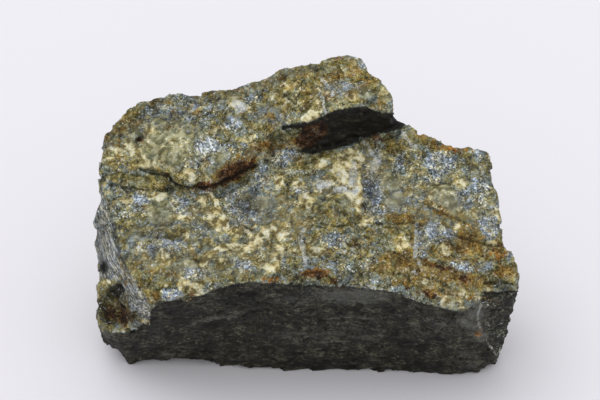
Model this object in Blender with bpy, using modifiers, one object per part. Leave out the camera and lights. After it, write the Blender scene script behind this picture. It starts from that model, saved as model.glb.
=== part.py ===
"""A hand specimen of massive stibnite ore: one broken lump, resting on its flattest fracture face.

Metres, +Z up. The front, where the lump shows its best broken face, looks along -Y. The origin is
the centre of the lump's box, at the level of the surface that it rests on.
"""

import math
from typing import NamedTuple

import bmesh
import bpy
from mathutils import Euler, Matrix, Vector, noise

MM = 0.001

# Driving dimensions, in millimetres and degrees.
TERRACE_HEIGHT = 38.0  # height of the broken face at y = 0
TERRACE_TILT = 18.0  # how far that face leans towards the front
ROOT_DEPTH = 5.0  # how far the two upper lobes reach into the block below them
FOOT_DEPTH = 2.0  # the raw block reaches below the resting plane, which then trims it
LEFT_DOME = 1.2  # how far the middle of the left lobe's top stands above its rim
RIGHT_DOME = 0.6  # the same for the right lobe
VOXEL = 0.7  # grain of the merged solid
TRIANGLES = 10900  # of the merged solid, before the resting plane trims it


class Station(NamedTuple):
    """One place on the outline of a block: its wall runs from the rim (x, y and height above the broken
    face) down to the foot (x, y)."""

    rim: tuple
    foot: tuple


class Fracture(NamedTuple):
    """A flat break: a point on it, and the way it faces. Azimuth 0 is the front and 90 the right."""

    name: str
    point: tuple
    azimuth: float
    elevation: float


class Lump(NamedTuple):
    """A rounded bump on the surface, or the shape of a bite out of it: centre, half sizes and turn."""

    name: str
    centre: tuple
    half_size: tuple
    turn: tuple


MAIN_BLOCK = (
    Station((-45.0, -20.5, 0.0), (-44.5, -7.0)),
    Station((-33.0, -21.0, 0.0), (-37.0, -12.3)),
    Station((-25.0, -20.5, 0.0), (-27.0, -12.6)),
    Station((-14.0, -20.0, 0.0), (-14.4, -12.8)),
    Station((0.0, -20.0, 0.0), (0.0, -14.2)),
    Station((12.0, -20.0, 0.0), (12.0, -14.2)),
    Station((23.0, -21.0, 0.0), (23.0, -14.5)),
    Station((33.5, -21.7, 0.0), (33.5, -15.4)),
    Station((38.2, -21.3, 0.0), (40.0, -15.4)),
    Station((47.3, -17.8, 0.2), (43.9, -12.8)),
    Station((47.2, -13.0, 0.0), (44.6, -7.0)),
    Station((44.6, -9.0, 0.0), (43.4, -3.0)),
    Station((42.8, 3.0, 0.0), (42.0, 3.0)),
    Station((41.4, 12.6, 0.0), (39.0, 10.0)),
    Station((32.0, 14.2, 0.0), (31.0, 14.0)),
    Station((24.2, 19.0, 0.0), (23.0, 20.5)),
    Station((13.6, 26.0, 0.0), (14.0, 26.5)),
    Station((-2.0, 25.8, 0.0), (0.0, 28.0)),
    Station((-20.0, 24.8, 0.0), (-19.0, 26.0)),
    Station((-36.8, 22.0, 0.0), (-34.0, 20.0)),
    Station((-43.0, 11.5, 0.0), (-41.0, 9.0)),
    Station((-43.6, 6.0, 0.0), (-43.6, 3.0)),
    Station((-44.6, -3.0, 0.0), (-45.0, -2.0)),
)

LEFT_LOBE = (
    Station((-43.2, 7.2, 2.4), (-43.6, 3.6)),
    Station((-41.4, 5.6, 2.6), (-42.0, 2.9)),
    Station((-38.3, 5.2, 2.6), (-38.3, 2.7)),
    Station((-34.0, 5.3, 2.9), (-33.0, 2.4)),
    Station((-30.0, 4.2, 2.8), (-28.6, 2.3)),
    Station((-27.0, 2.6, 2.5), (-25.6, 1.9)),
    Station((-24.5, 1.9, 2.2), (-24.0, 1.7)),
    Station((-21.0, 2.2, 2.4), (-20.6, 2.0)),
    Station((-16.9, 4.6, 2.8), (-16.4, 4.2)),
    Station((-13.1, 7.2, 3.2), (-12.4, 6.8)),
    Station((-8.0, 11.0, 3.8), (-7.0, 10.6)),
    Station((-2.0, 17.0, 4.2), (-1.0, 17.0)),
    Station((-3.0, 24.2, 6.5), (-2.5, 24.6)),
    Station((-8.4, 24.2, 6.6), (-8.4, 24.6)),
    Station((-14.0, 24.0, 5.2), (-14.0, 24.4)),
    Station((-21.0, 23.9, 4.0), (-21.0, 24.2)),
    Station((-30.0, 23.2, 3.4), (-30.0, 23.5)),
    Station((-36.6, 21.4, 3.0), (-36.8, 21.7)),
    Station((-41.8, 15.4, 3.0), (-42.4, 15.6)),
    Station((-42.9, 12.2, 2.8), (-43.2, 12.0)),
    Station((-42.4, 9.4, 2.6), (-42.8, 9.4)),
)

RIGHT_LOBE = (
    Station((-14.5, 9.5, 2.6), (-12.5, 8.0)),
    Station((-8.0, 11.4, 4.6), (-6.8, 12.0)),
    Station((-4.4, 12.3, 6.4), (-3.4, 12.8)),
    Station((-1.0, 11.1, 8.4), (-0.4, 12.0)),
    Station((4.3, 11.4, 10.0), (4.6, 12.4)),
    Station((7.6, 12.0, 11.0), (7.6, 13.2)),
    Station((14.1, 12.2, 12.0), (13.6, 15.2)),
    Station((20.8, 12.8, 10.4), (20.8, 18.0)),
    Station((20.2, 15.0, 11.8), (23.0, 19.0)),
    Station((17.0, 20.6, 12.4), (19.5, 22.5)),
    Station((13.6, 25.4, 12.2), (14.0, 25.6)),
    Station((9.9, 25.3, 13.3), (10.0, 25.8)),
    Station((6.4, 25.0, 12.9), (6.4, 25.6)),
    Station((4.0, 24.6, 11.6), (4.0, 25.4)),
    Station((0.0, 24.9, 10.2), (0.0, 25.3)),
    Station((-4.4, 24.7, 9.2), (-4.4, 25.1)),
    Station((-10.0, 24.0, 7.0), (-10.0, 24.4)),
    Station((-16.5, 23.0, 4.6), (-16.5, 23.6)),
    Station((-17.5, 16.0, 3.4), (-17.0, 16.0)),
)

BLOCK_FRACTURES = (
    Fracture("front left droop", (-14.0, -20.0, 31.5), -18.0, 59.0),
    Fracture("front right droop", (13.0, -20.0, 31.4), 15.0, 54.6),
)

LUMP_FRACTURES = (
    Fracture("upper grey facet", (-42.9, 2.2, 38.7), -62.8, 24.0),
    Fracture("lower grey facet", (-37.9, -12.0, 34.1), -48.8, 16.8),
    Fracture("lower left corner", (-38.0, -13.0, 0.0), -70.0, -38.0),
    Fracture("lower back edge", (0.0, 23.0, 0.0), 178.0, -26.0),
    Fracture("lower right edge", (43.4, -3.0, 0.0), 96.0, -38.0),
    Fracture("back left corner", (-35.5, 21.5, 20.0), -142.0, -6.0),
    Fracture("back right corner", (31.0, 16.5, 16.0), 143.0, -12.0),
)

KNOBS = (
    Lump("knob on the broken face", (8.6, -3.2, 36.3), (6.4, 4.4, 1.7), (18.0, 0.0, 8.0)),
    Lump("quartz bulge", (-26.5, 8.4, 43.0), (8.0, 5.8, 2.2), (18.0, 0.0, -14.0)),
    Lump("bulge by the right edge", (31.0, 0.0, 37.2), (6.0, 4.5, 1.8), (18.0, 0.0, 20.0)),
    Lump("hump over the right crest", (33.0, -15.0, 30.7), (7.5, 3.8, 1.8), (24.0, 6.0, 0.0)),
    Lump("grey knob on the left edge", (-43.1, -1.4, 35.2), (1.4, 4.2, 2.6), (20.0, 0.0, -12.0)),
    Lump("spall at the crest", (3.2, -19.2, 31.0), (4.6, 1.9, 1.2), (24.0, 0.0, 0.0)),
    Lump("swelling of the back", (6.0, 24.0, 24.0), (13.0, 4.4, 9.0), (0.0, 12.0, -6.0)),
)

HOLLOWS = (
    Lump("rusty pocket", (-41.2, -15.6, 18.2), (5.2, 3.6, 5.6), (0.0, 20.0, -40.0)),
    Lump("dark pit", (-44.8, -8.5, 25.0), (2.2, 2.4, 2.5), (0.0, 0.0, 0.0)),
    Lump("pit on the left lobe", (-35.1, 12.6, 45.2), (1.5, 1.0, 1.1), (0.0, 0.0, 20.0)),
    Lump("red seam", (-15.5, 3.6, 38.9), (6.5, 1.4, 1.5), (18.0, 0.0, 33.0)),
    Lump("crack under the left lobe", (-27.0, 1.7, 38.7), (6.0, 1.2, 1.2), (18.0, 0.0, -12.0)),
    Lump("dip beside the vein", (8.8, 2.6, 39.6), (5.0, 2.3, 1.3), (18.0, 0.0, 0.0)),
    Lump("groove by the right end", (38.0, -10.2, 35.1), (7.0, 0.9, 0.8), (18.0, 0.0, -13.0)),
    Lump("hollow under the right ledge", (43.6, -20.8, 27.8), (6.0, 1.8, 3.0), (0.0, 0.0, 24.0)),
    Lump("notch at the lower left", (-25.2, -13.4, -1.6), (6.4, 4.6, 4.4), (0.0, 0.0, 0.0)),
    Lump("chip at the lower left", (-33.5, -13.5, -0.5), (5.0, 3.0, 2.0), (0.0, 0.0, 0.0)),
    Lump("chip left of the middle", (-14.5, -14.6, -0.6), (4.6, 3.0, 2.0), (0.0, 0.0, 0.0)),
    Lump("chip right of the middle", (10.0, -15.6, -0.8), (7.0, 2.4, 1.9), (0.0, 0.0, 0.0)),
    Lump("chip at the lower right", (42.6, -15.0, 0.0), (2.6, 3.0, 1.9), (0.0, 8.0, 0.0)),
    Lump("nick in the back rim", (-27.6, 23.8, 50.5), (2.6, 2.4, 1.3), (0.0, 0.0, 0.0)),
    Lump("ledge on the back", (-14.0, 29.0, 31.0), (16.0, 6.0, 7.0), (0.0, 8.0, 4.0)),
    Lump("bite in the right side", (47.5, -3.0, 15.0), (4.6, 11.0, 8.0), (0.0, 8.0, 0.0)),
    Lump("bite in the left side", (-48.0, 4.0, 17.0), (5.0, 8.0, 8.0), (12.0, 0.0, 0.0)),
)


def clear_scene():
    """Removes what a new file starts with, and anything left from an earlier run."""
    for thing in list(bpy.data.objects):
        bpy.data.objects.remove(thing, do_unlink=True)


def collection(name):
    """Returns a new collection of that name in the scene."""
    made = bpy.data.collections.new(name)
    bpy.context.scene.collection.children.link(made)
    return made


def terrace_level(x, y):
    """Returns the height of the broken face, which leans towards the front, at (x, y)."""
    return TERRACE_HEIGHT + y * math.tan(math.radians(TERRACE_TILT))


def ground_level(x, y):
    """Returns the height of the resting plane, which is the same everywhere."""
    return 0.0


def outward(fracture):
    """Returns the unit vector that a fracture faces along."""
    azimuth, elevation = math.radians(fracture.azimuth), math.radians(fracture.elevation)
    level = math.cos(elevation)
    return Vector((math.sin(azimuth) * level, -math.cos(azimuth) * level, math.sin(elevation)))


def raise_block(stations, foot_level, buried, dome):
    """Returns a bmesh of a block: its foot outline, extruded up to its rim, with a domed top.

    foot_level is the height of the foot as a function of (x, y). The walls are carried on down, on the
    same slant, until they are buried that far below it.
    """
    block = bmesh.new()
    rims, feet = {}, []
    for station in stations:
        x, y, above = station.rim
        rim = Vector((x, y, terrace_level(x, y) + above))
        foot = Vector((*station.foot, foot_level(*station.foot)))
        foot += (foot - rim) * (buried / (rim.z - foot.z))
        feet.append(block.verts.new(foot))
        rims[foot.to_tuple(3)] = rim
    base = block.faces.new(feet)
    lifted = bmesh.ops.extrude_face_region(block, geom=[base])["geom"]
    for vertex in (g for g in lifted if isinstance(g, bmesh.types.BMVert)):
        vertex.co = rims[vertex.co.to_tuple(3)]
    top = [g for g in lifted if isinstance(g, bmesh.types.BMFace)]
    bmesh.ops.recalc_face_normals(block, faces=block.faces)
    if dome:
        bmesh.ops.poke(block, faces=top, offset=dome, center_mode="MEAN")
    bmesh.ops.triangulate(block, faces=[f for f in block.faces if len(f.verts) > 3])
    return block


def break_off(solid, fractures):
    """Cuts a bmesh along each fracture and closes the break."""
    for fracture in fractures:
        cut = bmesh.ops.bisect_plane(
            solid,
            geom=[*solid.verts, *solid.edges, *solid.faces],
            plane_co=fracture.point,
            plane_no=outward(fracture),
            clear_outer=True,
            dist=1e-5,
        )
        rim = [g for g in cut["geom_cut"] if isinstance(g, bmesh.types.BMEdge)]
        closed = bmesh.ops.holes_fill(solid, edges=rim, sides=0)
        bmesh.ops.triangulate(solid, faces=closed["faces"])


def as_object(solid, name, home):
    """Turns a bmesh in millimetres into an object in metres."""
    bmesh.ops.transform(solid, matrix=Matrix.Scale(MM, 4), verts=solid.verts)
    mesh = bpy.data.meshes.new(name)
    solid.to_mesh(mesh)
    solid.free()
    made = bpy.data.objects.new(name, mesh)
    home.objects.link(made)
    return made


def hide_helper(thing):
    """Marks an object as a cutter or a guide, which isn't part of the lump."""
    thing.hide_render = True
    thing.display_type = "WIRE"


def combine(target, others, operation):
    """Adds a Boolean modifier to the target, which takes every object of a collection at once."""
    modifier = target.modifiers.new(f"{operation.lower()} {others.name}", "BOOLEAN")
    modifier.operation = operation
    modifier.solver = "EXACT"
    modifier.operand_type = "COLLECTION"
    modifier.collection = others
    modifier.use_self = True


def rough_ball(lump, home):
    """Returns the stretched ball, with a rough skin, that a bump adds or a hollow takes away."""
    ball = bmesh.new()
    bmesh.ops.create_icosphere(ball, subdivisions=3, radius=1.0)
    seed = Vector(lump.centre) / 3.0
    for vertex in ball.verts:
        vertex.co *= 1.0 + 0.22 * noise.noise(vertex.co * 1.7 + seed)
    turn = Euler([math.radians(a) for a in lump.turn]).to_matrix().to_4x4()
    stretch = Matrix.Diagonal((*lump.half_size, 1.0))
    place = Matrix.Translation(lump.centre)
    bmesh.ops.transform(ball, matrix=place @ turn @ stretch, verts=ball.verts)
    made = as_object(ball, lump.name, home)
    hide_helper(made)
    return made


def freeze(thing):
    """Replaces an object's mesh by the one that its modifiers make."""
    graph = bpy.context.evaluated_depsgraph_get()
    mesh = bpy.data.meshes.new_from_object(thing.evaluated_get(graph))
    thing.modifiers.clear()
    thing.data = mesh


def hackly(place):
    """Returns how far granular ore stands out at a point in millimetres: lumps with hackly grains on them."""
    lumps = noise.noise(place / 11.0)
    grains = noise.fractal(place / 4.5, 0.8, 2.1, 3)
    return 0.75 * lumps + 0.6 * grains


def slaty(place):
    """Returns how far slate stands out: long low ribs that run across, arched as the crest is."""
    arch = place.z + 0.0045 * (place.x + 2.0) ** 2
    ribs = noise.fractal(Vector((place.x / 15.0, place.y / 6.0, arch / 3.4)), 0.9, 2.0, 3)
    return 0.34 * ribs + 0.6 * noise.noise(place / 13.0)


def streaked(place):
    """Returns how far the rubbed left facet stands out: fine ribs that run down it."""
    across = place.x - place.y
    ribs = noise.noise(Vector((across / 2.2, (place.z + place.y) / 14.0, 0.0)))
    return 0.35 * ribs + 0.4 * noise.noise(place / 9.0)


def broken(place):
    """Returns how far the sides and the back stand out: the same ore, broken more roughly."""
    return 1.2 * hackly(place) + 0.8 * noise.noise(place / 19.0)


def ramp(value, low, high):
    """Returns 0 below low, 1 above high, and a smooth rise between them."""
    t = min(1.0, max(0.0, (value - low) / (high - low)))
    return t * t * (3.0 - 2.0 * t)


def relief(place, facing):
    """Returns how far the surface stands out, blended by the way it faces."""
    top = ramp(facing.z, 0.35, 0.7)
    left = ramp(-facing.x, 0.2, 0.5) * ramp(-facing.y, 0.1, 0.35)
    front = ramp(-facing.y, 0.45, 0.75) * (1.0 - left)
    rest = max(0.0, 1.0 - top - left - front)
    shares = ((top, hackly), (left, streaked), (front, slaty), (rest, broken))
    whole = top + left + front + rest
    return sum(share * kind(place) for share, kind in shares if share > 0.0) / whole


def smooth_normals(thing, rounds):
    """Returns a normal for each vertex, averaged with those of its neighbours that many times."""
    mesh = thing.data
    normals = [v.normal.copy() for v in mesh.vertices]
    for _ in range(rounds):
        sums = [n.copy() for n in normals]
        for edge in mesh.edges:
            a, b = edge.vertices
            sums[a] += normals[b]
            sums[b] += normals[a]
        normals = [s.normalized() for s in sums]
    return normals


def roughen(thing):
    """Moves each point of the merged solid along its normal, by the relief of its own kind of break."""
    normals = smooth_normals(thing, 3)
    places = [v.co / MM for v in thing.data.vertices]
    for vertex, place, normal in zip(thing.data.vertices, places, normals):
        vertex.co = (place + normal * relief(place, normal)) * MM


def thin_out(thing, most):
    """Simplifies a mesh to a number of triangles, which leaves flat chips between its ridges."""
    thing.data.calc_loop_triangles()
    modifier = thing.modifiers.new("chips", "DECIMATE")
    modifier.ratio = min(1.0, most / len(thing.data.loop_triangles))
    modifier.use_collapse_triangulate = True
    freeze(thing)


def rest_on_ground(thing):
    """Trims the lump along the resting plane, and centres its box on the origin."""
    solid = bmesh.new()
    solid.from_mesh(thing.data)
    break_off(solid, [Fracture("resting face", (0.0, 0.0, 0.0), 0.0, -90.0)])
    low = [min(v.co[i] for v in solid.verts) for i in range(3)]
    high = [max(v.co[i] for v in solid.verts) for i in range(3)]
    shift = Vector((-(low[0] + high[0]) / 2, -(low[1] + high[1]) / 2, -low[2]))
    bmesh.ops.translate(solid, vec=shift, verts=solid.verts)
    solid.to_mesh(thing.data)
    solid.free()


def ore_material():
    """Returns the ore's plain colour: a grey metallic sulphide stained with ochre and rust."""
    material = bpy.data.materials.new("stibnite ore")
    material.use_nodes = True
    shader = material.node_tree.nodes["Principled BSDF"]
    shader.inputs["Base Color"].default_value = (0.19, 0.17, 0.12, 1.0)
    shader.inputs["Roughness"].default_value = 0.55
    shader.inputs["Metallic"].default_value = 0.25
    return material


def build_lump(specimen, added, removed):
    """Builds the lump: the main block, two lobes and the bumps on it, and what was knocked off."""
    block = raise_block(MAIN_BLOCK, ground_level, FOOT_DEPTH, 0.0)
    break_off(block, BLOCK_FRACTURES)
    left = raise_block(LEFT_LOBE, terrace_level, ROOT_DEPTH, LEFT_DOME)
    right = raise_block(RIGHT_LOBE, terrace_level, ROOT_DEPTH, RIGHT_DOME)
    for solid in (block, left, right):
        break_off(solid, LUMP_FRACTURES)
    lump = as_object(block, "stibnite_ore_lump", specimen)
    for solid, name in ((left, "left lobe"), (right, "right lobe")):
        hide_helper(as_object(solid, name, added))
    for knob in KNOBS:
        rough_ball(knob, added)
    for hollow in HOLLOWS:
        rough_ball(hollow, removed)
    combine(lump, added, "UNION")
    combine(lump, removed, "DIFFERENCE")
    merge = lump.modifiers.new("one solid", "REMESH")
    merge.mode = "VOXEL"
    merge.voxel_size = VOXEL * MM
    freeze(lump)
    roughen(lump)
    thin_out(lump, TRIANGLES)
    rest_on_ground(lump)
    lump.data.materials.append(ore_material())
    return lump


def main():
    """Builds the specimen in an empty scene."""
    clear_scene()
    build_lump(collection("stibnite specimen"), collection("lobes and bumps"), collection("hollows"))


main()
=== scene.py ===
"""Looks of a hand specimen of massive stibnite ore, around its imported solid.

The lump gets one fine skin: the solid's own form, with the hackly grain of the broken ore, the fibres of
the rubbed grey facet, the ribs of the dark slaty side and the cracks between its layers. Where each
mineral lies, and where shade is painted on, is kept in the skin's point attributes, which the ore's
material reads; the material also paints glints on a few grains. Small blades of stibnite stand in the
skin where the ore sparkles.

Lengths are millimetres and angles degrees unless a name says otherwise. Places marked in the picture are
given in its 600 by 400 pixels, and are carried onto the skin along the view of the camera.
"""

import logging
import math
from dataclasses import dataclass
from enum import Enum

import bmesh
import bpy
import numpy as np
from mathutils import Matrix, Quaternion, Vector, noise
from mathutils.bvhtree import BVHTree
from mathutils.kdtree import KDTree


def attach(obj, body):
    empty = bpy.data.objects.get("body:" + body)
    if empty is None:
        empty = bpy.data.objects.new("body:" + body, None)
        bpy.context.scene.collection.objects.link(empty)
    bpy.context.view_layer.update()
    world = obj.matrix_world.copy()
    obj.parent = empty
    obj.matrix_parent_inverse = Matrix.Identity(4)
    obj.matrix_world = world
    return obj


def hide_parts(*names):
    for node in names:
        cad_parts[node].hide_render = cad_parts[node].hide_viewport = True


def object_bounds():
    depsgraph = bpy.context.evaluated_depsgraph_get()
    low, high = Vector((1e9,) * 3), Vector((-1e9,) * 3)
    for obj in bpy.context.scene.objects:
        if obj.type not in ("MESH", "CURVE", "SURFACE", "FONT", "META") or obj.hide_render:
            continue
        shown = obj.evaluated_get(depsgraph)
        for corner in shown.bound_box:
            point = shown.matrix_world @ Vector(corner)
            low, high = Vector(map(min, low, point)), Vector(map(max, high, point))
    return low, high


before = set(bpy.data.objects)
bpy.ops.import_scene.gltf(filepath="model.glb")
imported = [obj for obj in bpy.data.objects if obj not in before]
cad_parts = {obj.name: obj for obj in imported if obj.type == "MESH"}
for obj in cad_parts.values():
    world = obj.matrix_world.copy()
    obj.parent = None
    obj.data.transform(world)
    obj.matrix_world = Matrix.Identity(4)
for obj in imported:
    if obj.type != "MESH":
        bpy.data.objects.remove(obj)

MM = 0.001
NODE = "stibnite_ore_lump"
BODY = "root"
PICTURE = (600, 400)
CAD_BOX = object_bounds()
# How many pixels the edge of a patch takes to change over, before the grain breaks it up.
EDGE_WIDTH = 7.0
# The slate's layers arch: where along the lump they are highest, and how steeply they fall to both sides.
ARCH_MIDDLE = -2.0
ARCH_FALL = 0.0045
# How far apart the clouds of two seeds are read.
CLOUD_SHIFT = (17.3, -9.1, 5.7)
# The chips' borders waver: the size of the swells and how far they reach, as shares of a chip, and the
# first of their clouds.
CHIP_SWELL = 0.8
CHIP_WARP = 0.22
CHIP_SEED = 20.0

log = logging.getLogger("specimen")


class Kind(Enum):
    """What a patch or a line on the skin is made of, or for SHADE the painted shade laid on it. The value
    names the point attribute.
    """

    CREAM = "cream"
    RUST = "rust"
    ORANGE = "orange"
    UMBER = "umber"
    SULPHIDE = "sulphide"
    QUARTZ = "quartz"
    VEIN = "vein"
    OLIVE = "olive"
    SLATE = "slate"
    FACET = "facet"
    HAZE = "haze"
    # Painted shade: darkens the colour under overhangs, in cracks, holes and hollows and on the dark side
    # of the step, and in a few marks darker streaks and spots of the stone.
    SHADE = "shade"


@dataclass(frozen=True)
class PhotoView:
    """The camera's place, from which the marked places are carried onto the skin."""

    target: tuple = (-0.7, -3.813, 38.0)
    elevation: float = 40.0
    distance: float = 434.0
    lens: float = 120.0
    sensor: float = 36.0
    clip_metres: tuple = (0.01, 20.0)

    @property
    def focal(self) -> float:
        """The focal length in pixels of the picture."""
        return self.lens / self.sensor * PICTURE[0]

    @property
    def axes(self) -> np.ndarray:
        """The camera's right, up and forward directions, one in each row."""
        lean = math.radians(self.elevation)
        return np.array(
            [
                [1.0, 0.0, 0.0],
                [0.0, math.sin(lean), math.cos(lean)],
                [0.0, math.cos(lean), -math.sin(lean)],
            ]
        )

    @property
    def place(self) -> np.ndarray:
        """Where the camera stands."""
        return np.array(self.target) - self.axes[2] * self.distance

    def pixels(self, places: np.ndarray) -> np.ndarray:
        """Finds where places on the specimen fall in the picture.

        Args:
            places: One place in each row.

        Returns:
            The pixel of each place, x and y, one in each row.
        """
        seen = (places - self.place) @ self.axes.T
        across = PICTURE[0] / 2 + self.focal * seen[:, 0] / seen[:, 2]
        down = PICTURE[1] / 2 - self.focal * seen[:, 1] / seen[:, 2]
        return np.stack([across, down], axis=1)

    def direction(self, x: float, y: float) -> Vector:
        """Finds the direction from the camera through a pixel.

        Args:
            x: The pixel's distance from the left edge.
            y: The pixel's distance from the top edge.

        Returns:
            The unit vector from the camera through the pixel.
        """
        right, up, forward = self.axes
        through = forward * self.focal + right * (x - PICTURE[0] / 2) + up * (PICTURE[1] / 2 - y)
        return Vector(through).normalized()

    def build(self) -> bpy.types.Object:
        """Makes the camera.

        Returns:
            The camera, set as the scene's own.
        """
        data = bpy.data.cameras.new("specimen_camera")
        data.lens = self.lens
        data.sensor_width = self.sensor
        data.clip_start, data.clip_end = self.clip_metres
        camera = bpy.data.objects.new("specimen_camera", data)
        bpy.context.scene.collection.objects.link(camera)
        camera.location = Vector(self.place) * MM
        camera.rotation_mode = "QUATERNION"
        camera.rotation_quaternion = Vector(self.axes[2]).to_track_quat("-Z", "Y")
        bpy.context.scene.camera = camera
        return camera


def outwards(mark: "Patch | Swelling", pixels: np.ndarray) -> np.ndarray:
    """Finds how far out each pixel is from the middle of a mark, which is an ellipse.

    Args:
        mark: The patch or swelling.
        pixels: One pixel in each row.

    Returns:
        0 in the middle, 1 on the ellipse and more outside it.
    """
    turn = math.radians(mark.turn)
    dx, dy = pixels[:, 0] - mark.x, mark.y - pixels[:, 1]
    along = (dx * math.cos(turn) + dy * math.sin(turn)) / mark.across
    beside = (dy * math.cos(turn) - dx * math.sin(turn)) / mark.down
    return np.hypot(along, beside)


@dataclass(frozen=True)
class Patch:
    """A patch of one mineral, or of painted shade: an ellipse in the picture, with its middle, half sizes
    and turn.

    The turn is anticlockwise. At full strength the patch is solid, and at half it is scattered grains.
    """

    name: str
    kind: Kind
    x: float
    y: float
    across: float
    down: float
    turn: float = 0.0
    strength: float = 1.0

    def reach(self, pixels: np.ndarray) -> np.ndarray:
        """Finds how strongly the patch covers each pixel.

        Args:
            pixels: One pixel in each row.

        Returns:
            Half of the strength at the patch's edge, more inside it and less outside.
        """
        inside = (1.0 - outwards(self, pixels)) * min(self.across, self.down)
        return self.strength * np.clip(0.5 + inside / EDGE_WIDTH, 0.0, 1.0)


@dataclass(frozen=True)
class Line:
    """A vein, a streak or a crack: a line through points in the picture, with its full width there.

    A crack is also carved that deep into the skin.
    """

    name: str
    kind: Kind
    points: tuple
    width: float
    strength: float = 1.0
    depth: float = 0.0

    def distance(self, pixels: np.ndarray) -> np.ndarray:
        """Finds how far each pixel is from the line.

        Args:
            pixels: One pixel in each row.

        Returns:
            The distance of each, in pixels.
        """
        return distance_to(pixels, np.array(self.points, float), closed=False)

    def reach(self, pixels: np.ndarray) -> np.ndarray:
        """Finds how strongly the line covers each pixel.

        Args:
            pixels: One pixel in each row.

        Returns:
            The strength on the line, and half of it at its edge.
        """
        inside = self.width / 2 - self.distance(pixels)
        return self.strength * np.clip(0.5 + 2.0 * inside / EDGE_WIDTH, 0.0, 1.0)


@dataclass(frozen=True)
class Swelling:
    """A bump on the skin, or with a height below zero a hollow: an ellipse in the picture."""

    name: str
    x: float
    y: float
    across: float
    down: float
    turn: float
    height: float

    def reach(self, pixels: np.ndarray) -> np.ndarray:
        """Finds how high the bump is at each pixel.

        Args:
            pixels: One pixel in each row.

        Returns:
            The height at each.
        """
        return self.height * (1.0 - rise(outwards(self, pixels), 0.3, 1.25))


# Two directions across the fibres of the rubbed facet, and the one that they run along.
FIBRE_AXES = np.array([[0.106, -0.269, 0.957], [-0.929, -0.368, 0.0], [0.352, -0.89, -0.289]])

# The outlines of the faces whose finish differs from the broken ore's.
SLATE_OUTLINE = (
    (92, 331), (112, 332), (128, 333), (140, 326), (150, 319), (151, 309), (163, 302), (177, 299),
    (191, 298), (202, 295), (217, 290), (232, 284), (251, 282), (290, 284), (339, 286), (359, 287),
    (379, 290), (402, 293), (409, 298), (428, 304), (442, 307), (453, 312), (466, 311), (474, 306),
    (484, 293), (486, 342), (498, 356), (498, 390), (92, 390),
)
FACET_OUTLINE = (
    (90, 186), (102, 188), (107, 205), (112, 222), (116, 237), (122, 257), (132, 276), (142, 290),
    (150, 305), (151, 319), (144, 323), (137, 313), (127, 298), (119, 285), (108, 279), (90, 277),
)
RISER_OUTLINE = (
    (300, 152), (305, 146), (315, 139), (324, 132), (316, 126), (300, 129), (281, 130), (281, 127),
    (296, 124), (309, 121), (321, 117), (335, 110), (343, 109), (365, 106), (378, 112), (396, 112),
    (408, 124), (400, 130), (385, 133), (372, 136), (350, 143), (331, 149), (313, 154),
)
RIGHT_FACE_OUTLINE = ((485, 292), (500, 293), (522, 291), (522, 345), (500, 357), (486, 342))
# The part of the slate's outline that runs along the crest.
CREST = SLATE_OUTLINE[5:25]
# Pixels in the middle of the dark side of the step, and of the dark face on the right.
RISER_PIXELS = ((330, 130), (375, 120), (290, 142))
RIGHT_FACE_PIXELS = ((500, 310), (495, 335))

# The kinds' letters in the tables of marks. D is mostly painted shade, and in a few rows darker streaks and
# spots of the stone.
C, R, U, S, Q, H = Kind.CREAM, Kind.RUST, Kind.UMBER, Kind.SULPHIDE, Kind.QUARTZ, Kind.HAZE
V, O, D, G, F = Kind.VEIN, Kind.OLIVE, Kind.SHADE, Kind.ORANGE, Kind.FACET
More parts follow.
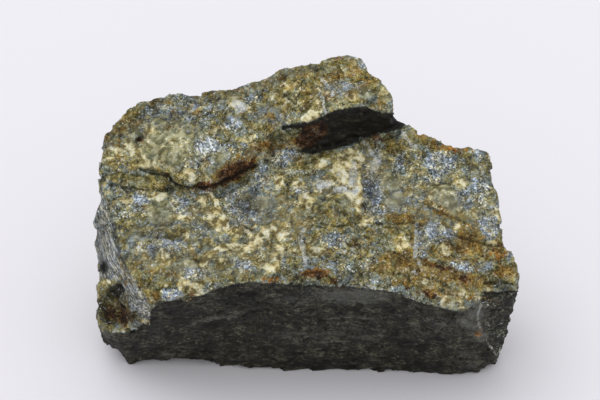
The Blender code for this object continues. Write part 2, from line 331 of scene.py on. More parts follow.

# Each row is a patch: its name, mineral or painted shade, middle, half sizes, and where they differ from 0
# and 1, its turn and strength.
ZONE_PATCHES = (
    ("golden zone of the right", R, 455, 252, 66, 34, -14, 0.4),
    ("olive zone of the right", O, 450, 250, 76, 42, -14, 0.72),
    ("rusty zone of the crest", R, 410, 274, 46, 15, -8, 0.5),
    ("rusty right rim", R, 440, 142, 34, 10, -16, 0.44),
    ("ochre zone of the right lobe", C, 312, 98, 58, 20, 12, 0.34),
    ("rusty zone of the right lobe", R, 336, 84, 46, 16, 6, 0.42),
    ("olive zone of the right lobe", O, 325, 88, 64, 26, 12, 0.8),
    ("yellow zone of the bulge", C, 172, 148, 38, 18, 0, 0.38),
    ("grey zone of the left lobe", S, 186, 108, 50, 16, 4, 0.5),
    ("rusty left corner", R, 120, 132, 24, 14, 40, 0.42),
    ("ochre zone of the centre", C, 325, 176, 60, 28, -8, 0.32),
    ("olive zone of the centre", O, 326, 234, 62, 24, -6, 0.56),
    ("rust zone of the centre", R, 330, 236, 80, 22, -8, 0.26),
    ("brown zone of the left", O, 160, 268, 42, 30, 8, 0.75),
    ("rust zone of the left", R, 160, 270, 44, 30, 8, 0.22),
    ("brown zone under the lobe", O, 150, 182, 46, 9, -6),
    ("grey zone of the terrace", S, 222, 205, 52, 26, 0, 0.48),
    ("grey zone of the right", S, 440, 172, 50, 22, -10, 0.48),
    ("ochre zone of the right", C, 434, 190, 42, 20, -20, 0.4),
    ("yellow zone of the left", C, 166, 216, 48, 22, 0, 0.26),
    ("quartz zone of the left lobe", Q, 170, 144, 50, 26, 0, 0.72),
    ("quartz zone of the middle", Q, 300, 214, 60, 18, 0, 0.42),
    ("quartz zone of the lower centre", Q, 260, 262, 70, 16, 8, 0.42),
    ("pale zone of the crest", C, 250, 246, 60, 22, 14, 0.36),
    ("grey zone over the crest", S, 330, 262, 60, 14, 0, 0.5),
    ("grey zone by the edge", S, 486, 200, 22, 44, 0, 0.46),
    ("grey haze of the terrace", H, 196, 246, 84, 36, 0, 0.66),
    ("grey haze under the lobe", H, 262, 214, 38, 22, 0, 0.8),
    ("shade of the left lobe's top", D, 212, 97, 40, 10, 3, 0.46),
    ("shade of the left shoulder", D, 138, 116, 34, 14, 34, 0.42),
    ("shade of the left corner", D, 106, 140, 9, 14, 0, 0.44),
    ("shade of the bulge's edge", D, 394, 108, 8, 12, -30, 0.4),
    ("shade of the right plain", D, 472, 168, 24, 14, -14, 0.36),
    ("olive of the right plain", O, 466, 172, 30, 16, -14, 0.62),
    ("shade under the lip", D, 274, 146, 26, 8, 24, 0.4),
    ("shade of the lower centre", D, 308, 258, 36, 12, 0, 0.44),
    ("shade along the crest", D, 324, 278, 54, 10, 0, 0.52),
    ("pale ore of the right lobe", H, 270, 115, 17, 10, 0, 1.3),
    ("pale ore by the crystals", H, 336, 92, 24, 8, 8, 1.2),
    ("pale ore of the right", H, 424, 208, 50, 22, -20),
    ("pale ore by the edge", H, 466, 226, 24, 26),
    ("pale ore of the middle", H, 322, 184, 18, 10, 0, 1.2),
    ("grey ore of the middle", H, 282, 226, 34, 16, 0, 0.8),
    ("shade of the left lobe", D, 184, 120, 38, 11, 0, 0.38),
    ("shade of the left crest", D, 204, 282, 14, 10, 10, 0.42),
)
LEFT_LOBE_PATCHES = (
    ("olive upper edge", O, 124, 120, 24, 9, 38, 0.85),
    ("dull grey top", O, 200, 100, 40, 8, 4, 0.6),
    ("rust streak by the corner", R, 124, 129, 9, 4, 45, 0.75),
    ("rusty corner", R, 106, 139, 4, 5, 0, 0.85),
    ("rust on the top edge", R, 160, 101, 6, 2, 0, 0.8),
    ("smooth grey spot", Q, 165, 107, 9, 4, 10, 0.8),
    ("orange under the grey spot", G, 172, 111, 5, 2.5, 15, 0.7),
    ("rust on the back edge", R, 217, 92, 9, 3, 8, 0.75),
    ("rust specks on top", R, 198, 111, 8, 3, 5, 0.65),
    ("bright cluster", S, 195, 107, 4, 4),
    ("second bright cluster", S, 210, 108, 4, 3, 0, 0.95),
    ("orange ochre spot", G, 148, 126, 5, 3, 30, 0.75),
    ("yellow ochre bulge", C, 150, 131, 7, 6, 20, 0.56),
    ("dark pit", D, 139, 138, 6, 2.5, 20, 0.8),
    ("rust in the pit", U, 138, 141, 5, 3, 15, 0.9),
    ("cream by the pit", C, 137, 152, 5, 12, 40, 0.9),
    ("flesh coloured specks", C, 114, 152, 11, 6, 0, 0.7),
    ("orange specks at the left", R, 112, 153, 9, 5, 0, 0.55),
    ("cream below the bulge", C, 146, 164, 10, 5, -10, 0.95),
    ("greenish bulge", Q, 176, 146, 22, 14, 4, 1.5),
    ("yellow haze on the bulge", C, 174, 145, 21, 9, 5, 0.4),
    ("pale quartz", Q, 169, 159, 10, 7, 0, 1.3),
    ("blue grey band", S, 207, 146, 13, 9, -20, 1.3),
    ("white glint", V, 199, 133, 3, 2, 0, 0.8),
    ("cream knob", C, 191, 175, 6, 6, 0, 1.2),
    ("yellow lines", C, 179, 176, 6, 3, 0, 0.7),
    ("glint by the crack", S, 187, 183, 5, 3),
    ("grey flank", Q, 218, 157, 12, 9, 35, 0.8),
    ("grey layers", O, 120, 176, 20, 9, -5, 0.4),
    ("dark red crack filling", U, 208, 186, 15, 4, 8),
    ("dark red hollow", U, 235, 171, 22, 8, 30, 0.95),
    ("rust round the hollow", R, 236, 169, 28, 12, 30, 0.85),
    ("shade in the red hollow", D, 228, 180, 22, 4, 26, 0.8),
    ("deep red spot", G, 249, 165, 9, 3.5, 28, 0.62),
    ("olive under the lobe", O, 152, 178, 12, 5, -8, 0.95),
)
RIGHT_LOBE_PATCHES = (
    ("white spot", V, 240, 106, 6, 4, -30, 1.8),
    ("cream round the white spot", C, 240, 105, 10, 7, -30, 0.9),
    ("blue grey by the spot", S, 233, 122, 8, 9, 0, 0.85),
    ("blue grey above", S, 250, 98, 10, 6, 15, 0.8),
    ("cream tongue", C, 245, 139, 7, 3, 5, 0.85),
    ("dull rim", O, 285, 75, 42, 8, 20, 0.85),
    ("grey of the rim", H, 280, 77, 40, 7, 20, 0.85),
    ("rust on the rim", R, 242, 90, 8, 2, 10, 0.7),
    ("rust on the top rim", G, 343, 58, 8, 2, 5, 0.75),
    ("rust spot", R, 281, 78, 4, 2, 0, 0.85),
    ("rust speck", R, 303, 83, 4, 2, 0, 0.7),
    ("yellow patch", C, 287, 86, 8, 5, 0, 0.66),
    ("orange in the yellow patch", R, 286, 87, 9, 5, 0, 0.6),
    ("rust band", R, 340, 75, 20, 4, 4, 0.88),
    ("dark rust in the band", U, 348, 75, 9, 3, 0, 0.6),
    ("ochre by the top", C, 343, 69, 4, 3, 0, 0.75),
    ("rust by the peak", R, 356, 70, 8, 8, 30, 0.62),
    ("blue grey crystals", S, 340, 87, 13, 6, 10, 1.1),
    ("more blue grey crystals", S, 359, 85, 10, 4, 10),
    ("grey peak", S, 362, 63, 6, 6, 0, 0.75),
    ("green bulge at the edge", Q, 386, 92, 8, 9, -30, 1.4),
    ("yellow on the green bulge", C, 384, 92, 8, 8, -30, 0.5),
    ("green quartz", Q, 364, 93, 8, 5, 0, 1.2),
    ("rust right of it", R, 376, 104, 12, 5, -5, 0.6),
    ("orange patch", G, 329, 98, 5, 4, 0, 0.8),
    ("cream by the lip", C, 311, 116, 11, 5, 20, 1.15),
    ("dark grey green", O, 310, 103, 11, 7, 0, 0.7),
    ("orange specks", R, 271, 117, 6, 4, 0, 0.7),
    ("ochre blob", R, 270, 127, 6, 3, 0, 0.72),
    ("ochre in the blob", C, 270, 127, 5, 2.5, 0, 0.7),
    ("red brown end of the step", U, 311, 135, 17, 9, 34, 1.2),
    ("shade at the end of the step", D, 309, 136, 18, 9, 34, 0.56),
    ("rust at the end of the step", R, 288, 145, 24, 5, 24, 0.85),
    ("dull ore under the lip", O, 280, 139, 26, 6, 26, 0.9),
    ("shade under the lip", D, 278, 138, 28, 4, 26, 0.5),
    ("dull shade of the rim", D, 284, 75, 42, 6, 20, 0.4),
    ("green grey by the lip", Q, 283, 136, 10, 4, 20, 0.8),
    ("rust under the lobe", R, 258, 147, 14, 6, 14, 0.9),
    ("umber under the lobe", U, 256, 149, 12, 4, 14, 0.66),
    ("orange under the lobe", G, 262, 144, 9, 3, 15, 0.6),
    ("olive above it", O, 262, 140, 10, 5, 30, 0.8),
)
CENTRE_PATCHES = (
    ("blue grey below the step", S, 284, 156, 14, 8, -5, 1.1),
    ("dark granular ore", S, 262, 175, 9, 14, 0, 0.8),
    ("cream tooth", C, 277, 182, 5, 8, 0, 1.1),
    ("orange dots", R, 298, 160, 9, 5, 0, 0.55),
    ("yellow dots", C, 297, 183, 9, 4, 0, 0.6),
    ("olive by the step", O, 332, 154, 15, 6, 5, 0.95),
    ("green cream patch", C, 321, 165, 7, 6, 0, 0.7),
    ("cream apron", C, 350, 160, 13, 11, 15, 1.5),
    ("grey cream apron", C, 347, 172, 14, 8, 0, 1.35),
    ("vein in the apron", V, 338, 173, 10, 5, 0, 0.5),
    ("pale middle", C, 353, 186, 9, 17, 4, 1.6),
    ("white middle", V, 354, 178, 6, 15, 4, 0.8),
    ("bright cream", C, 322, 185, 11, 6, 15, 1.3),
    ("second bright cream", C, 341, 191, 10, 6, 15, 1.3),
    ("white in the bright cream", V, 341, 191, 7, 4, 0, 0.95),
    ("white in the first cream", V, 322, 185, 9, 5, 15, 0.95),
    ("pale haze by the apron", H, 372, 168, 18, 20, 0, 1.1),
    ("yellow cream", C, 359, 201, 7, 11, 20, 1.4),
    ("cream foot", C, 367, 214, 6, 8, 25, 1.25),
    ("cream step", C, 307, 199, 6, 9, 30, 1.1),
    ("blue dark glints", S, 303, 190, 6, 5),
    ("dark knob", O, 334, 208, 19, 12, 0, 0.9),
    ("shadow on the knob", D, 332, 208, 19, 11, 0, 0.46),
    ("quartz in the knob", Q, 347, 205, 8, 6, 0, 1.2),
    ("olive knob foot", O, 345, 220, 18, 8, 0, 0.9),
    ("flesh cream spot", C, 361, 224, 4, 4, 30, 0.8),
    ("dark blue vein", S, 371, 194, 10, 24, -4, 1.5),
    ("dark of the vein", D, 370, 193, 9, 21, -4, 0.7),
    ("white top of the vein", V, 376, 160, 6, 15, -18, 0.72),
    ("blue foot of the vein", S, 380, 216, 7, 7),
    ("pale quartz disc", Q, 388, 182, 10, 9, 0, 1.3),
    ("cream in the disc", C, 387, 180, 7, 6, 0, 0.56),
    ("green quartz disc", Q, 395, 200, 8, 7, 0, 1.3),
    ("ochre by the step end", O, 394, 148, 12, 7, 0, 0.95),
    ("rust by the step end", R, 396, 147, 12, 7, 0, 0.5),
    ("blue spot", S, 400, 161, 6, 7),
    ("flesh cream line", C, 408, 159, 2, 5, 0, 0.8),
    ("white blue band", S, 397, 208, 13, 3),
    ("olive rust field", O, 400, 217, 22, 7, 3, 0.95),
    ("rust in the field", R, 402, 217, 22, 7, 3, 0.55),
    ("dark red by the step", U, 378, 139, 5, 4, 0, 0.8),
    ("grey green quartz", Q, 262, 203, 11, 7, 0, 1.3),
    ("white yellow tooth", C, 279, 204, 3, 7, -15, 0.85),
    ("olive centre", O, 300, 216, 18, 12, 0, 0.75),
    ("cream blob", C, 269, 228, 7, 6, 30),
    ("second cream blob", C, 255, 243, 9, 7, 25, 1.1),
    ("third cream blob", C, 283, 236, 7, 5, 20, 1.05),
    ("cream stem", C, 278, 253, 5, 10, 0, 1.05),
    ("cream bar", C, 295, 249, 6, 4, 10, 0.8),
    ("white cream spot", C, 316, 252, 7, 5, 0, 1.2),
    ("white in the spot", V, 316, 251, 4, 3, 0, 0.7),
    ("pale spot", V, 354, 250, 4, 3, 0, 0.65),
    ("cream over the spall", C, 272, 267, 7, 5, 0, 1.25),
    ("olive by the stem", O, 293, 260, 8, 11, 0, 0.95),
    ("orange rim", G, 274, 279, 11, 4, 8, 0.7),
    ("orange on the spall", G, 316, 273, 13, 4, 0, 1.3),
    ("umber right of the spall", U, 335, 281, 9, 3, -30, 0.9),
    ("rust under the orange", U, 316, 276, 8, 2.5, 0, 0.7),
    ("blue grey field", S, 335, 240, 18, 9, 0, 0.7),
    ("blue grey over the crest", S, 242, 264, 14, 9, 0, 0.8),
    ("white streaks over the crest", V, 239, 266, 4, 8, 0, 0.62),
)
LEFT_PATCHES = (
    ("sparkle below the layers", S, 140, 199, 9, 6, 0, 1.3),
    ("green cream", C, 125, 200, 7, 4, 5, 0.72),
    ("cream corner", C, 157, 197, 9, 5, -5, 1.1),
    ("grey quartz", Q, 160, 214, 12, 11, 0, 1.4),
    ("sparkle right of it", S, 178, 205, 8, 9, 0, 1.2),
    ("speckled cream", C, 183, 219, 13, 5, -15, 0.68),
    ("streaky cream", C, 214, 216, 15, 10, -50, 0.66),
    ("cream end", C, 224, 224, 6, 8, 0, 0.8),
    ("dark olive band", O, 143, 233, 12, 4, 0, 0.9),
    ("dark band", D, 143, 234, 10, 3, 0, 0.5),
    ("brown below the quartz", O, 176, 231, 15, 5, -4, 0.9),
    ("cream peg", C, 186, 242, 3.5, 7, 0, 0.85),
    ("bright sparkle", S, 164, 245, 12, 6, 0, 1.6),
    ("left bright sparkle", S, 145, 249, 9, 5, 0, 1.5),
    ("right bright sparkle", S, 177, 246, 9, 6, 0, 1.5),
    ("brown quartz", Q, 194, 241, 6, 6, 0, 0.75),
    ("olive right of it", O, 205, 243, 12, 7, 10, 0.8),
    ("cream drop", C, 165, 257, 4, 7, 10),
    ("cream nick", C, 145, 255, 4, 3, 0, 0.85),
    ("olive brown", O, 165, 267, 10, 13, 0, 1.1),
    ("lower olive brown", O, 158, 285, 13, 9, 10, 1.1),
    ("soft grey", Q, 147, 266, 6, 4, 0, 0.85),
    ("white nick", V, 154, 264, 3, 5, 0, 0.75),
    ("cream by the facet", C, 131, 267, 4, 5, 20, 0.75),
    ("clear quartz", Q, 187, 267, 10, 7, 15, 1.4),
    ("bright sparkle by the quartz", S, 195, 276, 10, 7, 15, 1.5),
    ("bright cream at the crest", C, 197, 290, 9, 5, 12),
    ("cream at the crest", C, 183, 284, 6, 6, 0, 0.85),
    ("small cream", C, 167, 285, 4, 2, 0, 0.85),
    ("blue grey at the crest", S, 172, 293, 9, 6, 0, 1.4),
    ("last cream at the crest", C, 182, 297, 5, 3, 0, 0.85),
    ("orange at the crest", R, 157, 293, 5, 4, 0, 0.8),
    ("rust notch", U, 190, 295, 6, 2, 8, 0.8),
    ("olive over the crest", O, 222, 272, 18, 13, 12, 0.95),
    ("grey ore", S, 243, 215, 14, 12, 0, 0.85),
    ("glints right of the streaks", S, 236, 207, 9, 7, 20, 1.3),
    ("dark ore", S, 232, 195, 12, 7, 0, 0.9),
    ("shade of the dark ore", D, 248, 204, 19, 15, 0, 0.5),
    ("shade over the sparkle", D, 156, 234, 28, 7, 0, 0.5),
    ("shade by the streaks", D, 197, 203, 8, 6, -50, 0.4),
    ("shade by the facet", D, 122, 227, 10, 6, 0, 0.44),
    ("white of the sparkle", V, 160, 246, 10, 3, 0, 0.62),
)
RIGHT_PATCHES = (
    ("rust olive rim", R, 425, 137, 18, 6, -20, 0.62),
    ("olive rim", O, 423, 140, 20, 8, -22, 0.85),
    ("orange rim", G, 454, 149, 12, 3.5, -20, 0.85),
    ("umber in the rim", U, 458, 149, 8, 3, -10, 0.5),
    ("grey corner", S, 476, 152, 10, 5, 0, 0.7),
    ("olive edge", O, 487, 168, 4, 9, 0, 0.8),
    ("blue grey plain", S, 441, 163, 17, 12, -10),
    ("white blue top", V, 437, 158, 8, 6, 0, 0.42),
    ("bright blue grey", S, 434, 178, 9, 6, 0, 1.3),
    ("blue grey right", S, 479, 186, 10, 11, 20, 0.9),
    ("dark nick", D, 433, 184, 6, 2, -5, 0.7),
    ("yellow field", C, 443, 192, 13, 8, -25, 0.9),
    ("green quartz in the field", Q, 446, 197, 18, 12, -25, 1.5),
    ("pale streak", V, 449, 203, 9, 2.5, -15, 0.6),
    ("olive quartz", Q, 451, 210, 11, 6, -20, 1.3),
    ("yellow point", C, 459, 214, 5, 4, 0, 0.75),
    ("orange yellow spot", R, 429, 200, 5, 6, -50, 0.66),
    ("yellow in the spot", C, 430, 198, 4, 6, -50, 0.7),
    ("rust diagonal", R, 445, 214, 17, 3.5, -32, 0.95),
    ("cream ochre field", C, 422, 173, 9, 6, 0, 0.66),
    ("yellow corner", C, 463, 184, 4, 5, 0, 0.8),
    ("dark blue", S, 460, 198, 6, 8, -20, 1.1),
    ("pale olive right", Q, 483, 205, 12, 6, 10, 0.6),
    ("cream by the edge", C, 476, 211, 7, 6, 0, 0.6),
    ("cream edge", C, 498, 215, 4, 6, 0, 0.85),
    ("right blue grey", S, 489, 228, 9, 16, 0, 1.1),
    ("olive rust", O, 470, 236, 17, 9, -15, 0.95),
    ("rust in the groove", R, 470, 240, 18, 7, -12, 0.66),
    ("blue grey over the groove", S, 436, 233, 18, 9, -5, 1.4),
    ("deep blue", D, 425, 225, 5, 2, 0, 0.5),
    ("dark crystals", S, 423, 244, 6, 13, 0, 1.4),
    ("shade of the crystals", D, 422, 246, 5, 7, 0, 0.3),
    ("yellow green", C, 403, 244, 9, 9, 0, 0.6),
    ("olive left of the vein", O, 403, 243, 11, 12, 0, 0.8),
    ("cream mark", C, 443, 248, 7, 6, -40, 0.78),
    ("cream by the groove", C, 459, 226, 5, 4, 0, 0.85),
    ("cream over the ledge", C, 492, 244, 5, 3, 0, 0.9),
    ("pale edge", V, 507, 245, 4, 4, -40, 0.75),
    ("orange field", G, 466, 250, 14, 4, 0, 0.6),
    ("rust under the field", R, 466, 250, 16, 6, 0, 0.75),
    ("yellow in the orange", C, 463, 249, 9, 3, 0, 0.55),
    ("big blue grey", S, 460, 268, 13, 8, -10, 1.3),
    ("blue grey by its side", S, 483, 267, 10, 6, 0, 1.1),
    ("rust end", R, 504, 272, 13, 6, 5, 0.78),
    ("orange end", G, 497, 256, 12, 7, 0, 0.52),
    ("grey end", S, 510, 255, 6, 6, 0, 0.9),
    ("flesh spot", C, 512, 262, 3, 2.5, 0, 0.85),
    ("rust band of the crest", R, 440, 272, 40, 9, -20, 0.72),
    ("rust of the crest", R, 402, 262, 24, 13, -10, 0.62),
    ("red vein of the crest", U, 440, 267, 18, 4, -20, 0.8),
    ("second red vein", U, 464, 280, 7, 4, -30, 0.8),
    ("brown by the crest", O, 410, 274, 38, 13, -8, 0.95),
    ("rust over the edge", R, 442, 292, 40, 6, -10, 0.72),
    ("umber over the edge", U, 425, 293, 20, 4, -12, 0.66),
    ("white spot in the rust", V, 419, 264, 2.5, 1.6),
    ("white dash", V, 412, 273, 5, 1.5, 10, 0.75),
    ("cream dot", C, 425, 281, 3, 2, 20, 0.8),
    ("cream bead", C, 445, 302, 4.5, 6),
    ("pale blue quartz", Q, 454, 303, 8, 7, 0, 0.9),
    ("vein in the pale quartz", V, 454, 303, 7, 5, 0, 0.5),
    ("second cream bead", C, 462, 304, 3.5, 5),
    ("green bead", C, 464, 293, 4.5, 5, 0, 0.8),
    ("pale haze of the corner", H, 471, 314, 13, 19, 0, 0.8),
    ("grey corner of the slate", Q, 472, 312, 15, 12, 0, 0.42),
    ("orange bead", G, 479, 332, 3.4, 2, 38, 1.15),
    ("pale ring", H, 480, 334, 7, 9, 0, 1.1),
    ("olive specks by the bead", O, 470, 331, 8, 6, 0, 0.5),
    ("grey ledge", Q, 499, 288, 15, 3, 0, 0.55),
    ("cream of the ledge", C, 501, 289, 5, 2, 0, 0.5),
    ("cream by the ledge", C, 488, 289, 4, 2, 0, 0.75),
    ("dark granular ledge", D, 501, 286, 17, 7, 0, 0.6),
    ("blue line under the crest", S, 352, 289, 34, 2.5, -2),
    ("blue line at the edge", S, 413, 300, 15, 3, -22),
    ("glint at the edge", V, 414, 299, 2.5, 1.5, -20),
    ("pale specks of the dark face", Q, 501, 304, 7, 9, -30, 0.5),
)
SLATE_PATCHES = (
    ("light slate under the crest", H, 352, 296, 44, 9, -3, 0.75),
    ("second light slate", H, 300, 300, 34, 6, 4, 0.5),
    ("grey slate at the right", H, 445, 328, 34, 14, -12, 0.3),
    ("blue grey slate low", H, 468, 360, 16, 10, 0, 0.45),
    ("hazy slate in the middle", H, 330, 335, 60, 12, 0, 0.36),
    ("dark slate under the crest", D, 240, 298, 24, 8, 8, 0.6),
    ("dark slate at the left", D, 214, 325, 16, 5, 4, 0.6),
    ("dark slate at the corner", D, 168, 318, 34, 14, 14, 0.42),
    ("dark slate in the middle", D, 290, 325, 34, 8, 0, 0.36),
    ("dark slate at the right", D, 397, 343, 16, 4, -6, 0.6),
    ("second dark slate at the right", D, 423, 347, 9, 4, 0, 0.6),
    ("dark spot by the crest", D, 378, 306, 6, 3, 0, 0.6),
    ("dark foot", D, 178, 358, 46, 8, 0, 0.5),
    ("dark foot in the middle", D, 330, 364, 60, 6, 0, 0.4),
    ("dark foot at the right", D, 440, 366, 40, 6, 0, 0.4),
    ("blue grey toe", H, 110, 333, 10, 6, 0, 0.6),
)
# Each row is a line: its name, mineral or painted shade, points, width, strength and, for a crack, depth.
SLATE_LINES = (
    ("light streak of the slate", H, ((188, 325), (200, 320), (213, 318), (237, 316)), 2.4, 1.0),
    ("dark line with red", D, ((244, 316), (256, 314), (268, 311)), 1.8, 0.8, 0.3),
    ("dark layer", D, ((300, 312), (330, 309), (362, 311), (396, 318)), 1.8, 0.5, 0.3),
    ("second dark layer", D, ((170, 345), (200, 340), (232, 338), (262, 341)), 2.0, 0.5, 0.3),
    ("third dark layer", D, ((330, 345), (360, 342), (392, 346), (424, 352)), 2.0, 0.5, 0.3),
    ("pale layer", H, ((318, 318), (345, 316), (372, 319)), 2.0, 0.7),
    ("second pale layer", H, ((270, 335), (296, 333), (318, 336)), 2.0, 0.7),
    ("third pale layer", H, ((404, 322), (428, 328), (450, 336)), 2.0, 0.7),
)
FACET_PATCHES = (
    ("smooth side of the facet", H, 101, 243, 6, 20, 0, 0.9),
    ("dark pit of the facet", D, 102, 267, 6, 7, 0, 0.9),
    ("yellow edge of the pocket", C, 110, 282, 11, 4, 0, 0.62),
    ("olive edge of the pocket", O, 108, 290, 12, 12),
    ("dark hole", D, 116, 292, 9, 8, -20),
    ("shade round the hole", D, 114, 296, 15, 10, -20, 0.45),
    ("shade of the pocket", D, 117, 309, 22, 20, -35, 0.6),
    ("rust of the pocket", R, 122, 311, 15, 16, -40, 0.6),
    ("umber of the pocket", U, 120, 314, 13, 12, -30, 0.62),
    ("orange of the pocket", G, 128, 310, 3.5, 7, 40, 0.56),
    ("low orange of the pocket", G, 122, 325, 6, 3, 0, 0.6),
    ("olive of the pocket", O, 110, 315, 12, 16, 0, 1.1),
    ("dark spot of the pocket", D, 111, 318, 3.5, 3, 0, 0.8),
    ("ochre tip", C, 145, 321, 4, 3, 0, 0.8),
    ("low end of the facet", F, 139, 304, 17, 6, -54, 1.3),
    ("grey of the left knob", F, 101, 215, 8, 20),
)
PATCHES = tuple(
    Patch(*row)
    for row in (
        *ZONE_PATCHES,
        *LEFT_LOBE_PATCHES,
        *RIGHT_LOBE_PATCHES,
        *CENTRE_PATCHES,
        *LEFT_PATCHES,
        *RIGHT_PATCHES,
        *FACET_PATCHES,
        *SLATE_PATCHES,
    )
)

# Rows of the same form as the slate's lines.
ORE_LINES = (
    (
        "crack under the left lobe",
        D,
        (
            (141, 169), (150, 173), (159, 174), (168, 176), (171, 182), (175, 186), (187, 188),
            (204, 189), (224, 183), (240, 174), (256, 165),
        ),
        2.4,
        1.0,
        0.7,
    ),
    ("lower layer", D, ((107, 183), (124, 188), (150, 190), (173, 190)), 1.6, 0.7, 0.3),
    ("upper layer", D, ((103, 170), (122, 173), (140, 176)), 1.6, 0.5, 0.3),
    ("arc on the left lobe", D, ((111, 162), (120, 160), (128, 164)), 1.6, 0.6, 0.3),
    ("line over the bulge", D, ((157, 128), (165, 128), (174, 127)), 1.4, 0.5, 0.2),
    ("line over the sparkle", D, ((157, 237), (170, 239), (182, 240)), 1.8, 0.9, 0.4),
    (
        "crack of the spall",
        D,
        ((290, 285), (294, 281), (299, 275), (306, 271), (320, 271), (328, 275), (336, 284)),
        1.8,
        0.9,
        0.5,
    ),
    ("groove by the right end", D, ((451, 234), (470, 240), (490, 245), (504, 246)), 1.6, 0.7, 0.4),
    ("line over the blue", D, ((375, 223), (393, 224), (409, 222), (426, 225)), 1.8, 0.75, 0.4),
    ("groove under the ledge", D, ((486, 283), (503, 282), (516, 284)), 2.2, 0.9, 0.5),
    ("foot of the ledge", D, ((485, 293), (500, 294), (514, 292)), 2.4, 0.9, 0.4),
    ("foot of the step", D, ((300, 152), (331, 148), (350, 143), (372, 136), (398, 126)), 3.0, 0.9, 0.5),
    ("lower arc on the knob", D, ((318, 203), (326, 199), (336, 199), (343, 203)), 1.6, 0.6, 0.3),
    ("crevice left of the knob", D, ((309, 203), (312, 212), (318, 220)), 1.8, 0.6, 0.4),
    ("crevice under the knob", D, ((322, 223), (338, 226), (352, 224)), 1.8, 0.6, 0.4),
    ("crevice by the teeth", D, ((284, 176), (288, 188), (286, 200)), 1.6, 0.5, 0.3),
    ("crevice by the first cream", D, ((262, 236), (272, 240), (270, 252)), 1.6, 0.5, 0.3),
    ("crevice right of the streaks", D, ((232, 214), (240, 224), (252, 230)), 1.6, 0.5, 0.3),
    ("crevice of the left quartz", D, ((148, 222), (158, 226), (170, 224), (176, 218)), 1.6, 0.6, 0.3),
    ("crevice over the drop", D, ((150, 256), (158, 262), (156, 270)), 1.4, 0.5, 0.3),
    ("crevice of the quartz field", D, ((428, 206), (442, 212), (456, 218), (466, 222)), 1.8, 0.6, 0.4),
    ("crevice of the blue plain", D, ((428, 184), (438, 185), (446, 181)), 1.6, 0.7, 0.3),
    ("crevice of the right rim", D, ((470, 160), (478, 168), (484, 180)), 1.4, 0.5, 0.3),
    ("crevice of the brown swell", D, ((386, 250), (400, 254), (412, 262), (430, 266)), 1.6, 0.5, 0.3),
    ("second brown crevice", D, ((420, 276), (436, 280), (450, 288)), 1.6, 0.5, 0.3),
    ("crevice of the right lobe", D, ((302, 96), (310, 92), (320, 94)), 1.4, 0.5, 0.3),
    ("second crevice of the lobe", D, ((258, 104), (266, 110), (268, 118)), 1.4, 0.5, 0.3),
    ("crevice of the left lobe", D, ((168, 120), (182, 118), (196, 121)), 1.4, 0.5, 0.2),
    ("crevice of the bulge", D, ((166, 168), (172, 160), (176, 150)), 1.4, 0.4, 0.2),
    (
        "crevice under the lip",
        D,
        ((262, 141), (282, 129), (311, 123), (343, 111), (378, 114)),
        2.0,
        0.6,
        0.3,
    ),
    ("arcs on the knob", D, ((331, 196), (338, 193), (346, 196), (349, 200)), 1.5, 0.6, 0.3),
    ("dark lip", D, ((281, 128), (295, 124), (309, 122), (320, 118)), 2.4, 0.9, 0.3),
    ("red line of the left lobe", G, ((196, 187), (213, 185), (232, 177), (250, 167)), 3.0, 0.9),
    ("vein from the rust band", V, ((320, 77), (324, 81), (330, 89), (333, 95)), 2.4, 1.3),
    ("vein to the lip", V, ((319, 93), (323, 98), (323, 105), (326, 113)), 1.8, 1.3),
    ("thin vein of the lobe", V, ((277, 107), (280, 115), (281, 122)), 1.4, 0.7),
    ("vein under the step", V, ((361, 139), (367, 146), (373, 155)), 3.4, 1.3),
    ("vein right of the step", V, ((402, 133), (407, 139), (413, 145)), 2.4, 1.2),
    ("upright vein", V, ((417, 223), (416, 240), (415, 257)), 2.6, 1.4),
    ("white streak", V, ((303, 230), (300, 238), (303, 250), (306, 264)), 3.6, 1.4),
    ("wisp on the corner", H, ((478, 294), (480, 306), (477, 317), (481, 330)), 4.6, 1.5),
    ("second wisp", H, ((458, 321), (468, 323), (476, 327), (480, 334)), 4.0, 1.1),
    ("third wisp", H, ((474, 298), (472, 310), (475, 322)), 5.0, 0.9),
    ("vein on the lower corner", V, ((486, 340), (491, 348), (496, 355)), 2.0, 0.85),
    ("thin vein of the right lobe", V, ((358, 88), (360, 95), (358, 101)), 1.4, 0.7),
    ("nick by the quartz", V, ((154, 153), (159, 157)), 1.8, 0.8),
    ("streak on the facet", V, ((100, 201), (105, 209)), 2.6, 0.7),
    (
        "dark band of the facet",
        D,
        ((104, 196), (109, 215), (115, 235), (119, 255), (124, 272), (133, 290), (143, 308)),
        2.2,
        0.6,
    ),
    ("second dark band", D, ((113, 222), (118, 240), (121, 258), (127, 272)), 4.0, 0.66),
    ("third dark band", D, ((121, 277), (128, 290), (135, 303), (141, 316)), 2.0, 0.6),
    ("pale streak of the facet", V, ((103, 206), (108, 222), (113, 240), (115, 258)), 1.8, 0.6),
    ("low pale streak", V, ((127, 281), (134, 296), (141, 309), (147, 318)), 1.6, 0.6),
    ("first cream streak", C, ((200, 197), (207, 209), (214, 222), (219, 231)), 4.0, 1.4),
    ("second cream streak", C, ((211, 195), (219, 210), (224, 221), (229, 233)), 4.4, 1.5),
    (
        "rising cream band",
        C,
        ((201, 264), (208, 256), (215, 251), (228, 247), (241, 249), (254, 244), (266, 233)),
        6.5,
        1.15,
    ),
    ("cream edge of the layers", C, ((99, 160), (113, 158), (125, 162)), 2.0, 0.8),
    ("slanting cream", C, ((128, 143), (137, 150), (147, 163)), 4.6, 1.0),
    ("yellow line", C, ((166, 148), (180, 147), (196, 144)), 2.4, 0.6),
)
LINES = tuple(Line(*row) for row in (*ORE_LINES, *SLATE_LINES))

